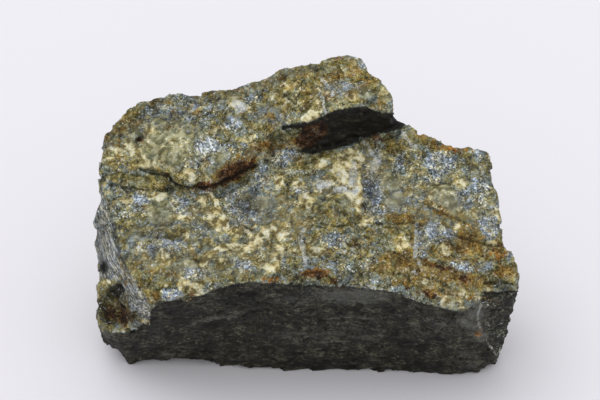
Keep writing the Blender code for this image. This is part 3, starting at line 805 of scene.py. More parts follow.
# Each row is a swelling: its name, middle, half sizes, turn and height.
SWELLINGS = tuple(
    Swelling(*row)
    for row in (
        ("bulge of the left lobe", 178, 146, 24, 15, 0, 1.0),
        ("grey flank", 214, 150, 16, 12, 25, 0.6),
        ("pit of the left lobe", 139, 139, 6, 3, 15, -0.5),
        ("peach lump", 140, 156, 9, 9, 0, 0.5),
        ("smooth spot", 165, 107, 10, 5, 10, 0.35),
        ("upper layers", 118, 174, 24, 6, -6, 0.5),
        ("cream corner", 157, 200, 15, 7, 0, 0.4),
        ("quartz of the left", 160, 216, 12, 9, 0, 0.6),
        ("hollow over the sparkle", 168, 236, 16, 3, 0, -0.5),
        ("sparkling lump", 165, 247, 18, 7, 0, 0.4),
        ("clear quartz", 187, 267, 10, 8, 0, 0.5),
        ("lump at the crest", 195, 290, 11, 5, 10, 0.4),
        ("dark knob", 337, 208, 23, 15, 0, 0.9),
        ("hollow left of the knob", 305, 208, 6, 14, 15, -0.4),
        ("bright cream lumps", 330, 187, 20, 6, -15, 0.4),
        ("apron", 350, 162, 13, 13, 0, 0.5),
        ("quartz disc", 388, 182, 10, 9, 0, 0.7),
        ("green disc", 396, 200, 9, 7, 0, 0.6),
        ("vein groove", 367, 190, 5, 20, -5, -0.4),
        ("quartz field", 448, 196, 20, 11, -25, 0.7),
        ("hollow under the field", 445, 217, 20, 3, -30, -0.4),
        ("grey plain", 440, 165, 18, 11, -10, 0.4),
        ("right blue lump", 488, 226, 10, 16, 0, 0.5),
        ("rust swell", 468, 234, 18, 6, -12, 0.5),
        ("blue lump by the edge", 460, 268, 16, 9, -10, 0.5),
        ("brown swell", 405, 265, 26, 10, -8, 0.5),
        ("cream beads", 453, 303, 14, 6, -15, 0.6),
        ("orange bead", 479, 332, 5, 4, 38, 0.4),
        ("cream swell of the centre", 256, 240, 22, 9, 25, 0.5),
        ("hollow of the centre", 300, 222, 18, 6, 10, -0.4),
        ("hollow over the crest", 225, 264, 24, 8, 8, -0.35),
        ("spall", 314, 281, 20, 7, 0, -0.5),
        ("yellow lump of the right lobe", 286, 87, 12, 7, 0, 0.5),
        ("white lump", 242, 106, 9, 8, 0, 0.5),
        ("hollow by the white lump", 262, 106, 10, 9, 0, -0.4),
        ("green bulge at the edge", 384, 94, 9, 9, -30, 0.5),
        ("dark hole of the pocket", 116, 292, 9, 9, -20, -1.3),
        ("pit of the facet", 103, 267, 5, 7, 0, -0.9),
        ("slate hollow under the crest", 247, 298, 16, 6, 8, -0.7),
        ("small slate hollow", 214, 325, 12, 4, 5, -0.6),
        ("slate hollow at the right", 400, 343, 14, 5, -5, -0.6),
        ("slate hollow low", 424, 347, 9, 4, 0, -0.5),
        ("slate swell", 300, 325, 60, 12, 4, 0.6),
        ("slate swell at the left", 170, 340, 30, 10, 0, 0.5),
    )
)


def distance_to(pixels: np.ndarray, points: np.ndarray, closed: bool) -> np.ndarray:
    """Finds how far each pixel is from a line through points.

    Args:
        pixels: One pixel in each row.
        points: The line's points, one in each row.
        closed: Whether the last point is joined to the first.

    Returns:
        The distance of each pixel.
    """
    nearest = np.full(len(pixels), np.inf)
    ends = np.roll(points, -1, axis=0)
    for start, end in list(zip(points, ends))[: None if closed else -1]:
        run = end - start
        share = np.clip(((pixels - start) @ run) / (run @ run), 0.0, 1.0)
        nearest = np.minimum(nearest, np.linalg.norm(pixels - start - share[:, None] * run, axis=1))
    return nearest


def depth_inside(pixels: np.ndarray, outline: tuple) -> np.ndarray:
    """Finds how far inside an outline each pixel is.

    Args:
        pixels: One pixel in each row.
        outline: The outline's points.

    Returns:
        The distance to the outline, below zero outside it.
    """
    points = np.array(outline, float)
    inside = np.zeros(len(pixels), bool)
    for (x0, y0), (x1, y1) in zip(points, np.roll(points, -1, axis=0)):
        if y0 == y1:
            continue
        crosses = (pixels[:, 1] < y0) != (pixels[:, 1] < y1)
        inside ^= crosses & (pixels[:, 0] < x0 + (pixels[:, 1] - y0) * (x1 - x0) / (y1 - y0))
    return np.where(inside, 1.0, -1.0) * distance_to(pixels, points, closed=True)


def rise(value: np.ndarray, low: float, high: float) -> np.ndarray:
    """Rises smoothly from 0 to 1.

    Args:
        value: What is measured.
        low: Where the rise starts.
        high: Where the rise ends.

    Returns:
        The share of the rise at each value.
    """
    share = np.clip((value - low) / (high - low), 0.0, 1.0)
    return share * share * (3.0 - 2.0 * share)


def clouds(places: np.ndarray, size: float, seed: float, octaves: int = 3) -> np.ndarray:
    """Reads fractal noise.

    Args:
        places: One place in each row.
        size: The size of the largest swells.
        seed: Which cloud it is.
        octaves: How many times finer swells are added.

    Returns:
        The noise at each place, mostly between -1 and 1.
    """
    away = Vector([seed * shift for shift in CLOUD_SHIFT])
    return np.array([noise.fractal(Vector(p) / size + away, 0.9, 2.0, octaves) for p in places])


def in_box(places: np.ndarray) -> np.ndarray:
    """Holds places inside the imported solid's box.

    Args:
        places: One place in each row.

    Returns:
        The places, moved onto the box where they were past it.
    """
    low, high = (np.array(corner) / MM for corner in CAD_BOX)
    return np.clip(places, low, high)


@dataclass
class SkinMesh:
    """The points, normals and neighbours of a mesh, as arrays in millimetres."""

    places: np.ndarray
    normals: np.ndarray
    edges: np.ndarray

    @classmethod
    def read(cls, mesh: bpy.types.Mesh) -> "SkinMesh":
        """Reads a mesh.

        Args:
            mesh: A mesh in metres.

        Returns:
            Its arrays.
        """
        places = np.empty(len(mesh.vertices) * 3)
        mesh.vertices.foreach_get("co", places)
        normals = np.empty(len(mesh.vertices) * 3)
        mesh.vertex_normals.foreach_get("vector", normals)
        edges = np.empty(len(mesh.edges) * 2, int)
        mesh.edges.foreach_get("vertices", edges)
        return cls(places.reshape(-1, 3) / MM, normals.reshape(-1, 3), edges.reshape(-1, 2))

    def write(self, mesh: bpy.types.Mesh) -> None:
        """Puts the points back into a mesh.

        Args:
            mesh: The mesh that they were read from.
        """
        mesh.vertices.foreach_set("co", (self.places * MM).ravel())
        mesh.update()

    def spread(self, values: np.ndarray, rounds: int) -> np.ndarray:
        """Averages a value at each point with those of its neighbours.

        Args:
            values: One value, or one row of them, for each point.
            rounds: How many times.

        Returns:
            The averaged values.
        """
        count = len(self.places)
        starts, ends = self.edges.T
        weight = 1.0 + np.bincount(starts, minlength=count) + np.bincount(ends, minlength=count)
        columns = values.reshape(count, -1).copy()
        for _ in range(rounds):
            for i, column in enumerate(columns.T.copy()):
                sums = np.bincount(starts, column[ends], count) + np.bincount(ends, column[starts], count)
                columns[:, i] = (column + sums) / weight
        return columns.reshape(values.shape)

    def calm_normals(self, rounds: int) -> np.ndarray:
        """Averages the normals.

        Args:
            rounds: How many times.

        Returns:
            One unit normal in each row.
        """
        calm = self.spread(self.normals, rounds)
        return calm / np.linalg.norm(calm, axis=1, keepdims=True)


@dataclass
class OreLump:
    """The lump's skin: its fine form, and where each mineral lies on it."""

    view: PhotoView
    name: str = "ore_lump_skin"
    voxel: float = 0.47
    facet_rounding: int = 2
    chip_sizes: tuple = (3.4, 1.7)
    chip_tilts: tuple = (0.16, 0.09)
    hackly_size: float = 2.6
    hackly_height: float = 0.18
    grain_size: float = 1.05
    grain_height: float = 0.05
    soft_share: float = 0.55
    rib_size: tuple = (5.0, 3.0, 0.9)
    rib_height: float = 0.24
    slate_chip_size: float = 4.2
    slate_chip_tilt: float = 0.14
    slate_chip_stretch: float = 1.8
    slate_grain_height: float = 0.1
    fibre_size: tuple = (0.9, 0.9, 7.0)
    fibre_height: float = 0.16
    facet_hackly_height: float = 0.12
    near_hollow: float = 3.0
    wide_hollow: float = 0.9

    def build(self, source: bpy.types.Object) -> bpy.types.Object:
        """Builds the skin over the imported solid.

        Args:
            source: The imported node, which stays as it is.

        Returns:
            The skin.
        """
        lump = self.fine_copy(source)
        skin = SkinMesh.read(lump.data)
        skin.places = skin.spread(skin.places, self.facet_rounding)
        skin.write(lump.data)
        skin = SkinMesh.read(lump.data)
        calm = skin.calm_normals(6)
        self.mark(lump, skin, calm)
        skin.places = skin.places + calm * self.relief(lump, skin)[:, None]
        skin.places = in_box(skin.places)
        skin.write(lump.data)
        self.mark_hollows(lump)
        lump.data.shade_smooth()
        return lump

    def fine_copy(self, source: bpy.types.Object) -> bpy.types.Object:
        """Copies the solid's mesh with an even, fine grid of points.

        Args:
            source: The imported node.

        Returns:
            The copy.
        """
        solid = bmesh.new()
        solid.from_mesh(source.data)
        bmesh.ops.remove_doubles(solid, verts=solid.verts, dist=1e-6)
        mesh = bpy.data.meshes.new(self.name)
        solid.to_mesh(mesh)
        solid.free()
        lump = bpy.data.objects.new(self.name, mesh)
        bpy.context.scene.collection.objects.link(lump)
        grid = lump.modifiers.new("even grid", "REMESH")
        grid.mode = "VOXEL"
        grid.voxel_size = self.voxel * MM
        state = bpy.context.evaluated_depsgraph_get()
        fine = bpy.data.meshes.new_from_object(lump.evaluated_get(state))
        lump.modifiers.clear()
        lump.data = fine
        fine.name = self.name
        return lump

    def mark(self, lump: bpy.types.Object, skin: SkinMesh, calm: np.ndarray) -> None:
        """Works out how much of each mineral, and of painted shade, there is at each point, and keeps it
        with the mesh.

        Args:
            lump: The skin's object.
            skin: The skin's arrays.
            calm: The averaged normals.
        """
        state = bpy.context.evaluated_depsgraph_get()
        chart = MineralChart(self.view, skin, calm, BVHTree.FromObject(lump, state))
        for kind, values in chart.fields().items():
            write_marks(lump, kind.value, values)
        write_marks(lump, "carve", chart.carving() - chart.swelling())

    def mark_hollows(self, lump: bpy.types.Object) -> None:
        """Keeps with the mesh how hollow it is at each point.

        Args:
            lump: The skin's object.
        """
        skin = SkinMesh.read(lump.data)
        near = np.einsum("ij,ij->i", skin.spread(skin.places, 1) - skin.places, skin.normals)
        wide = np.einsum("ij,ij->i", skin.spread(skin.places, 8) - skin.places, skin.calm_normals(3))
        write_marks(lump, "hollow", 0.5 + self.near_hollow * near + self.wide_hollow * wide)

    def relief(self, lump: bpy.types.Object, skin: SkinMesh) -> np.ndarray:
        """Works out how far each point stands out.

        Args:
            lump: The skin's object, with its marks.
            skin: The skin's arrays.

        Returns:
            The height at each point.
        """
        marks = {name: read_marks(lump, name) for name in ("slate", "facet", "carve", "quartz", "cream")}
        x, y, z = skin.places.T
        slate, facet = rise(marks["slate"], 0.35, 0.65), rise(marks["facet"], 0.35, 0.65)
        arch = z + ARCH_FALL * (x - ARCH_MIDDLE) ** 2
        ribs = clouds(np.stack([x, y, arch], axis=1) / self.rib_size, 1.0, 3.0)
        fibres = clouds(skin.places @ FIBRE_AXES.T / self.fibre_size, 1.0, 4.0)
        hackly = clouds(skin.places, self.hackly_size, 1.0)
        grains = clouds(skin.places, self.grain_size, 2.0, 2)
        chips = sum(
            chipped(skin.places, size, tilt, seed)
            for seed, (size, tilt) in enumerate(zip(self.chip_sizes, self.chip_tilts))
        )
        layers = np.stack([x, y, arch * self.slate_chip_stretch], axis=1)
        slate_chips = chipped(layers, self.slate_chip_size, self.slate_chip_tilt, 7)
        soft = 1.0 - self.soft_share * rise(np.maximum(marks["quartz"], marks["cream"]), 0.4, 0.7)
        ore = (self.hackly_height * hackly + self.grain_height * grains + chips) * soft
        rubbed = self.fibre_height * fibres + self.facet_hackly_height * hackly
        slaty = self.rib_height * ribs + self.slate_grain_height * grains + slate_chips
        mixed = ore * (1.0 - facet) + rubbed * facet
        mixed = mixed * (1.0 - slate) + slaty * slate
        return mixed - marks["carve"]

    def dress(self, lump: bpy.types.Object) -> None:
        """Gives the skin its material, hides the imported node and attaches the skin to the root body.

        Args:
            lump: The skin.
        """
        lump.data.materials.clear()
        lump.data.materials.append(OreMaterial().build())
        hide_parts(NODE)
        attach(lump, BODY)


@dataclass
class StibniteBlades:
    """Small flat blades of stibnite, half sunk in the skin where the ore sparkles."""

    name: str = "stibnite_blades"
    count: int = 9000
    length: tuple = (0.3, 0.8)
    width: tuple = (0.1, 0.2)
    thickness: float = 0.45
    taper: float = 0.35
    lean: float = 0.5
    sunk: float = 0.03
    plain_share: float = 0.12
    tone_size: float = 0.9
    roughness: tuple = (0.22, 0.5)
    metallic: float = 0.7
    seed: int = 41

    def build(self, skin: bpy.types.Object) -> bpy.types.Object:
        """Builds the blades.

        Args:
            skin: The skin that they stand in.

        Returns:
            The blades, as one object.
        """
        surface = SkinMesh.read(skin.data)
        random = np.random.default_rng(self.seed)
        share = self.sparkle(skin)
        chosen = random.choice(len(share), self.count, replace=False, p=share / share.sum())
        corners, faces = self.one_blade()
        turned = [self.stand(corners, surface.places[i], surface.normals[i], random) for i in chosen]
        places = in_box(np.concatenate(turned))
        steps = range(0, len(places), len(corners))
        sides = [[step + i for i in face] for step in steps for face in faces]
        mesh = bpy.data.meshes.new(self.name)
        mesh.from_pydata((places * MM).tolist(), [], sides)
        thing = bpy.data.objects.new(self.name, mesh)
        bpy.context.scene.collection.objects.link(thing)
        return thing

    def sparkle(self, skin: bpy.types.Object) -> np.ndarray:
        """Works out how likely a blade is at each point.

        Args:
            skin: The skin, with its marks.

        Returns:
            The share at each point.
        """
        marks = {kind: read_marks(skin, kind.value) for kind in Kind}
        ore = self.plain_share + rise(marks[Kind.SULPHIDE], 0.45, 1.0)
        for kind in (Kind.SLATE, Kind.FACET, Kind.CREAM, Kind.QUARTZ, Kind.RUST, Kind.UMBER):
            ore = ore * (1.0 - rise(marks[kind], 0.25, 0.65))
        return ore

    def one_blade(self) -> tuple:
        """Makes the form that all the blades share, a tapered six-sided prism.

        Returns:
            Its corners, one in each row, and the corners of each face.
        """
        prism = bmesh.new()
        bmesh.ops.create_cone(
            prism, cap_ends=True, segments=6, radius1=0.5, radius2=0.5 * self.taper, depth=1.0
        )
        corners = np.array([corner.co for corner in prism.verts])
        faces = [[corner.index for corner in face.verts] for face in prism.faces]
        prism.free()
        return corners, faces

    def stand(
        self,
        corners: np.ndarray,
        place: np.ndarray,
        normal: np.ndarray,
        random: np.random.Generator,
    ) -> np.ndarray:
        """Sizes one blade, turns it and sets it in the skin.

        Args:
            corners: The corners of the form that all the blades share.
            place: Where it stands.
            normal: The skin's normal there.
            random: What chooses its size and lean.

        Returns:
            Its corners.
        """
        length, width = random.uniform(*self.length), random.uniform(*self.width)
        leaning = Vector(normal) + Vector(random.uniform(-self.lean, self.lean, 3))
        spin = Quaternion((1.0, 0.0, 0.0), random.uniform(0.0, math.tau))
        turn = np.array((leaning.to_track_quat("X", "Z") @ spin).to_matrix())
        sized = corners * (width * self.thickness, width, length)
        return sized @ turn.T + place - normal * self.sunk

    def dress(self, blades: bpy.types.Object) -> None:
        """Gives the blades their material and lets them ride with the lump.

        Args:
            blades: The blades.
        """
        blades.data.materials.append(self.material())
        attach(blades, BODY)

    def material(self) -> bpy.types.Material:
        """Builds the blades' lead grey material, which shines more on some of them.

        Returns:
            The material.
        """
        material, shader = new_material("bright stibnite")
        graph = Graph(material.node_tree)
        grains = graph.use(ore_grains(), Place=graph.millimetres(), Size=self.tone_size)
        rough = graph.blend(grains.outputs["Chance"], *self.roughness)
        graph.feed(shader.inputs["Base Color"], graph.ramp(grains.outputs["Tone"], BLADE_TONES))
        graph.feed(shader.inputs["Roughness"], rough)
        graph.feed(shader.inputs["Metallic"], self.metallic)
        return material


def new_material(name: str) -> tuple[bpy.types.Material, bpy.types.Node]:
    """Starts a material.

    Args:
        name: The material's name.

    Returns:
        The material and its shader.
    """
    material = bpy.data.materials.new(name)
    material.use_nodes = True
    return material, material.node_tree.nodes["Principled BSDF"]


def chipped(places: np.ndarray, size: float, tilt: float, seed: int) -> np.ndarray:
    """Breaks a surface into small flat chips, each tilted its own way.

    Args:
        places: One place in each row.
        size: The width of a chip.
        tilt: How steeply the chips lean.
        seed: Which set of chips it is.

    Returns:
        The height at each place.
    """
    random = np.random.default_rng(seed)
    low, high = places.min(axis=0) - size, places.max(axis=0) + size
    count = int(np.prod(high - low) / size**3)
    sites = random.uniform(low, high, (count, 3))
    leans = random.uniform(-1.0, 1.0, (count, 3)) * tilt
    tree = KDTree(count)
    for i, site in enumerate(sites):
        tree.insert(site, i)
    tree.balance()
    swell, first = size * CHIP_SWELL, CHIP_SEED + seed
    warp = np.stack([clouds(places, swell, first + i, 2) for i in range(3)], axis=1)
    nearest = np.array([tree.find(place)[1] for place in places + warp * CHIP_WARP * size])
    return np.einsum("ij,ij->i", places - sites[nearest], leans[nearest])


def write_marks(thing: bpy.types.Object, name: str, values: np.ndarray) -> None:
    """Keeps a value at each point of a mesh.

    Args:
        thing: The object whose mesh gets it.
        name: The attribute's name.
        values: The value at each point.
    """
    attribute = thing.data.attributes.new(name, "FLOAT", "POINT")
    attribute.data.foreach_set("value", values.astype(np.float32))


def read_marks(thing: bpy.types.Object, name: str) -> np.ndarray:
    """Reads a point attribute.

    Args:
        thing: The object whose mesh has it.
        name: The attribute's name.

    Returns:
        The value at each point.
    """
    values = np.empty(len(thing.data.vertices), np.float32)
    thing.data.attributes[name].data.foreach_get("value", values)
    return values.astype(float)


@dataclass(frozen=True)
class Strewing:
    """How a mineral is strewn where no mark is laid: an even share, which clouds raise and lower.

    Most minerals are strewn more evenly where the camera sees them, because their marks are laid there.
    """

    share: float
    height: float
    size: float
    seed: float
    octaves: int = 3
    fine_height: float = 0.0
    marked: bool = True

    def shares(self, places: np.ndarray, fine: np.ndarray, lively: np.ndarray) -> np.ndarray:
        """Works out the mineral's share.

        Args:
            places: One place in each row.
            fine: The fine cloud that the minerals have in common.
            lively: How far the share may change at each place.

        Returns:
            The share at each place.
        """
        change = self.height * clouds(places, self.size, self.seed, self.octaves) + self.fine_height * fine
        return self.share + (lively * change if self.marked else change)


STREWN = {
    Kind.CREAM: Strewing(0.18, 0.3, 3.4, 8.0, fine_height=0.12),
    Kind.RUST: Strewing(0.13, 0.34, 5.6, 9.0, fine_height=0.12),
    Kind.ORANGE: Strewing(0.04, 0.3, 3.0, 15.0, octaves=2),
    Kind.UMBER: Strewing(0.06, 0.36, 6.0, 10.0),
    Kind.SULPHIDE: Strewing(0.33, 0.26, 7.0, 6.0, fine_height=0.2, marked=False),
    Kind.QUARTZ: Strewing(0.2, 0.32, 4.6, 11.0, octaves=2),
    Kind.OLIVE: Strewing(0.54, 0.36, 6.0, 13.0, marked=False),
    Kind.HAZE: Strewing(0.1, 0.3, 6.0, 14.0, marked=False),
}
# What a mark pushes back: by how much, from what strength of the mark to what, and which minerals.
PUSHES = {
    Kind.SULPHIDE: (0.5, 0.4, 0.9, (Kind.OLIVE, Kind.RUST, Kind.CREAM)),
    Kind.QUARTZ: (0.55, 0.6, 1.1, (Kind.SULPHIDE, Kind.RUST, Kind.CREAM)),
    Kind.OLIVE: (0.5, 0.4, 0.9, (Kind.SULPHIDE,)),
}


@dataclass
class MineralChart:
    """Carries the marked patches, lines and outlines onto the skin.

    The sides that the picture doesn't show get clouds of the same minerals.
    """

    view: PhotoView
    skin: SkinMesh
    calm: np.ndarray
    tree: BVHTree
    edge_ramp: float = 9.0
    pixel_size: float = 0.217
    # The swings of a mark's edge: the size of each in millimetres, its reach in pixels and its first cloud.
    swings: tuple = ((4.2, 4.0, 30.0), (1.6, 2.0, 33.0))
    lift: float = 0.35
    seen_calm: float = 0.25
    dark_face_share: float = 0.58
    line_reach: float = 10.0
    crack_reach: float = 8.0
    crack_rim: float = 1.2

    def __post_init__(self) -> None:
        """Finds each point's pixel, how the marks' edges waver there and whether the camera sees it."""
        self.pixels = self.view.pixels(self.skin.places)
        self.waver = sum(
            np.stack([clouds(self.skin.places, size, seed + i, 2) for i in range(2)], axis=1) * swing
            for size, swing, seed in self.swings
        )
        self.seen = self.visibility()

    def wavered(self, size: float) -> np.ndarray:
        """Moves each point's pixel a little, so that a mark's edge wavers, and a small mark's less.

        Args:
            size: The mark's smaller half size, in pixels.

        Returns:
            The moved pixel of each point.
        """
        return self.pixels + self.waver * min(1.0, 0.3 + size / 20.0)

    def visibility(self) -> np.ndarray:
        """Finds how well the camera sees each point, and keeps how far each is turned towards it.

        Returns:
            1 where a point is seen, 0 where it is hidden or faces away, and a smooth change between.
        """
        towards = self.view.place - self.skin.places
        span = np.linalg.norm(towards, axis=1)
        towards /= span[:, None]
        facing = np.einsum("ij,ij->i", towards, self.calm)
        self.turned = rise(facing, -0.45, -0.05)
        starts = (self.skin.places + self.calm * self.lift) * MM
        clear = np.zeros(len(starts))
        for i in np.nonzero(facing > 0.0)[0]:
            hit = self.tree.ray_cast(Vector(starts[i]), Vector(towards[i]))
            clear[i] = hit[0] is None
        return self.skin.spread(clear, 4) * rise(facing, 0.0, 0.25)

    def landing(self, x: float, y: float) -> np.ndarray | None:
        """Finds the place on the skin that a pixel shows.

        Args:
            x: The pixel's distance from the left edge.
            y: The pixel's distance from the top edge.

        Returns:
            The place, or nothing where the pixel misses the skin.
        """
        hit = self.tree.ray_cast(Vector(self.view.place) * MM, self.view.direction(x, y))[0]
        return None if hit is None else np.array(hit) / MM

    def near(self, points: tuple, reach: float) -> np.ndarray:
        """Finds the points of the skin around what some pixels show.

        Args:
            points: The pixels.
            reach: How far around, in pixels.

        Returns:
            A weight for each point of the skin: 1 close by, and 0 far away.
        """
        found = [p for p in (self.landing(x, y) for x, y in points) if p is not None]
        if not found:
            return np.zeros(len(self.pixels))
        away = np.min([np.linalg.norm(self.skin.places - p, axis=1) for p in found], axis=0)
        limit = reach * self.pixel_size
        return 1.0 - rise(away, 1.4 * limit + 1.0, 2.6 * limit + 2.0)

    def inside(self, outline: tuple) -> np.ndarray:
        """Finds how far inside an outline each point is.

        Args:
            outline: The outline's pixels.

        Returns:
            Half at the outline, 1 well inside it and 0 well outside.
        """
        return np.clip(0.5 + depth_inside(self.pixels, outline) / self.edge_ramp, 0.0, 1.0)

    def crest_height(self) -> np.ndarray:
        """Finds the height of the crest over each point.

        Returns:
            The height at each point's x.
        """
        crest = [self.landing(x, y - 1.0) for x, y in CREST]
        crest = np.array([p for p in crest if p is not None])
        crest = crest[np.argsort(crest[:, 0])]
        return np.interp(self.skin.places[:, 0], crest[:, 0], crest[:, 2])

    def fields(self) -> dict[Kind, np.ndarray]:
        """Works out the share of each mineral, and of painted shade.

        Returns:
            For each kind, a value at each point: half at an edge, more inside and less outside.
        """
        places = self.skin.places
        riser = self.inside(RISER_OUTLINE) * self.near(RISER_PIXELS, 42) * self.turned
        dark_face = self.inside(RIGHT_FACE_OUTLINE) * self.near(RIGHT_FACE_PIXELS, 90)
        slate = self.slaty(riser, dark_face)
        facet = self.seen * self.inside(FACET_OUTLINE)
        ore = 1.0 - rise(np.maximum(slate, facet), 0.3, 0.6)
        fine = clouds(places, 2.4, 7.0, 2)
        lively = 1.0 - (1.0 - self.seen_calm) * self.seen
        made = {kind: strewing.shares(places, fine, lively) for kind, strewing in STREWN.items()}
        made[Kind.VEIN] = 0.04 + lively * (0.42 - 2.2 * np.abs(clouds(places, 9.0, 12.0, 2)))
        for kind in made:
            if kind is not Kind.HAZE:
                made[kind] = np.clip(made[kind], 0.0, 0.8) * ore - 0.5 * (1.0 - ore)
        # Painted shade on the dark side of the step, under its overhang, and a little on the dark face on
        # the right; both also get slate for their own dark stone.
        made[Kind.SHADE] = np.clip(0.62 * rise(riser, 0.3, 0.7) + 0.25 * dark_face, 0.0, 1.0)
        made[Kind.SLATE], made[Kind.FACET] = slate, facet
        self.apply_marks(made)
        return made

    def slaty(self, riser: np.ndarray, dark_face: np.ndarray) -> np.ndarray:
        """Works out the share of slate.

        On the sides that the picture doesn't show, it lies below the crest in front and along the foot.

        Args:
            riser: The share of the dark side of the step.
            dark_face: The share of the dark face on the right, which is partly slate.

        Returns:
            The share at each point.
        """
        heights = self.skin.places[:, 2]
        front = rise(-self.calm[:, 1], 0.3, 0.7)
        below = np.clip(0.5 + (self.crest_height() - heights) / 2.0, 0.0, 1.0)
        low = np.clip(0.9 - heights / 16.0 + 0.2 * clouds(self.skin.places, 9.0, 5.0), 0.0, 1.0)
        low *= rise(-self.calm[:, 2], -0.5, 0.1)
        guessed = np.maximum(front * below, 0.85 * low)
        slate = self.seen * self.inside(SLATE_OUTLINE) + (1.0 - self.seen) * guessed
        partly = np.minimum(slate, self.dark_face_share)
        # The dark side of the step gets slate; its near black is partly this dark stone and partly the
        # painted shade that fields() adds.
        slate = np.maximum(np.where(dark_face > 0.5, partly, slate), riser)
        return np.maximum(slate, np.minimum(1.4 * dark_face, self.dark_face_share))

    def apply_marks(self, made: dict[Kind, np.ndarray]) -> None:
        """Lays the patches and lines over the clouds.

        Args:
            made: The share of each mineral, which is changed.
        """
        for patch in PATCHES:
            smaller, larger = sorted((patch.across, patch.down))
            around = self.near(((patch.x, patch.y),), larger)
            laid = patch.reach(self.wavered(smaller)) * around * self.turned
            self.lay(made, patch.kind, laid)
        for line in LINES:
            firm = line.depth or line.kind is Kind.VEIN
            pixels = self.pixels if firm else self.wavered(line.width)
            laid = line.reach(pixels) * self.near(line.points, self.line_reach) * self.turned
            self.lay(made, line.kind, laid)

    def lay(self, made: dict[Kind, np.ndarray], kind: Kind, laid: np.ndarray) -> None:
        """Lays one mark. A mineral's patch also pushes back the others that would hide it.

        Args:
            made: The share of each mineral, which is changed.
            kind: The mark's mineral.
            laid: Its strength at each point.
        """
        made[kind] = np.where(laid > 0.02, np.maximum(made[kind], laid), made[kind])
        if kind in PUSHES:
            share, low, high, others = PUSHES[kind]
            for other in others:
                made[other] = made[other] * (1.0 - share * rise(laid, low, high))

    def swelling(self) -> np.ndarray:
        """Works out how far the marked bumps and hollows stand out.

        Returns:
            The height at each point.
        """
        height = np.zeros(len(self.pixels))
        for form in SWELLINGS:
            around = self.near(((form.x, form.y),), max(form.across, form.down))
            height = height + form.reach(self.wavered(form.down)) * around * self.turned
        return height

    def carving(self) -> np.ndarray:
        """Works out how deep the cracks are.

        Returns:
            The depth at each point.
        """
        depth = np.zeros(len(self.pixels))
        for line in (line for line in LINES if line.depth):
            share = 1.0 - rise(line.distance(self.pixels), 0.0, line.width + self.crack_rim)
            around = self.near(line.points, self.crack_reach)
            depth = np.maximum(depth, line.depth * share * around * self.turned)
        return depth


def linear(red: int, green: int, blue: int) -> tuple:
    """Turns a screen colour into a surface colour.

    Args:
        red: From 0 to 255.
        green: From 0 to 255.
        blue: From 0 to 255.

    Returns:
        The colour as the shader reads it, with an alpha of 1.
    """
    shares = (c / 255.0 for c in (red, green, blue))
    return (*(s / 12.92 if s <= 0.04045 else ((s + 0.055) / 1.055) ** 2.4 for s in shares), 1.0)


@dataclass(frozen=True)
class Finish:
    """How one mineral looks: its tones from dark to light, its roughness and its metallic share."""

    tones: tuple
    roughness: float
    metallic: float = 0.0


# Where the colours of an even ramp are set.
EVEN_STOPS = (0.02, 0.12, 0.3, 0.5, 0.7, 0.88, 0.98)


def even_tones(*colours: tuple) -> tuple:
    """Sets seven screen colours along a ramp, from the darkest to the lightest.

    Args:
        colours: The colours.

    Returns:
        Each colour's place from 0 to 1, and the colour.
    """
    return tuple((stop, *colour) for stop, colour in zip(EVEN_STOPS, colours))


MATRIX = Finish(
    even_tones(
        (48, 48, 34), (82, 84, 68), (105, 108, 91), (123, 127, 110), (140, 144, 128), (160, 165, 150),
        (192, 196, 184),
    ),
    0.7,
)
OLIVE_ORE = Finish(
    even_tones(
        (48, 43, 22), (82, 76, 42), (106, 100, 60), (124, 118, 76), (142, 137, 95), (162, 158, 118),
        (192, 188, 150),
    ),
    0.75,
)
# The sulphide's own blue grey, whose darkest and lightest tones are painted dark facets and painted glints
# of the grains.
SULPHIDE_AND_PAINTED_GLINTS = Finish(
    even_tones(
        (58, 60, 57), (92, 96, 94), (118, 124, 123), (137, 144, 144), (155, 163, 164), (181, 189, 192),
        (234, 239, 243),
    ),
    0.4,
    0.25,
)
QUARTZ_ORE = Finish(
    (
        (0.02, 88, 87, 60), (0.2, 111, 111, 82), (0.5, 132, 132, 101), (0.8, 150, 150, 119),
        (0.98, 176, 175, 146),
    ),
    0.4,
)
CREAM_OCHRE = Finish(
    (
        (0.02, 108, 97, 62), (0.15, 146, 135, 96), (0.35, 175, 165, 124), (0.55, 194, 185, 143),
        (0.75, 210, 202, 163), (0.98, 234, 229, 200),
    ),
    0.85,
)
RUST_STAIN = Finish(
    (
        (0.02, 68, 46, 18), (0.2, 104, 79, 37), (0.5, 132, 107, 58), (0.8, 155, 135, 86),
        (0.98, 196, 182, 142),
    ),
    0.85,
)
ORANGE_STAIN = Finish(
    (
        (0.02, 78, 45, 14), (0.3, 122, 76, 24), (0.7, 154, 105, 40), (0.98, 192, 150, 82),
    ),
    0.8,
)
UMBER_STAIN = Finish(
    (
        (0.02, 28, 13, 6), (0.3, 60, 31, 15), (0.6, 92, 54, 28), (0.98, 130, 98, 66),
    ),
    0.8,
)
WHITE_VEIN = Finish(
    (
        (0.02, 128, 130, 122), (0.4, 172, 175, 168), (0.7, 198, 200, 194), (0.98, 226, 227, 222),
    ),
    0.6,
)
SLATE = Finish(
    even_tones(
        (7, 7, 4), (14, 13, 9), (25, 24, 17), (34, 33, 25), (44, 43, 34), (58, 57, 46), (90, 88, 74),
    ),
    0.6,
)
RUBBED_FACET = Finish(
    even_tones(
        (48, 50, 47), (76, 79, 76), (102, 105, 102), (120, 124, 121), (140, 144, 142), (164, 167, 165),
        (200, 203, 200),
    ),
    0.5,
)
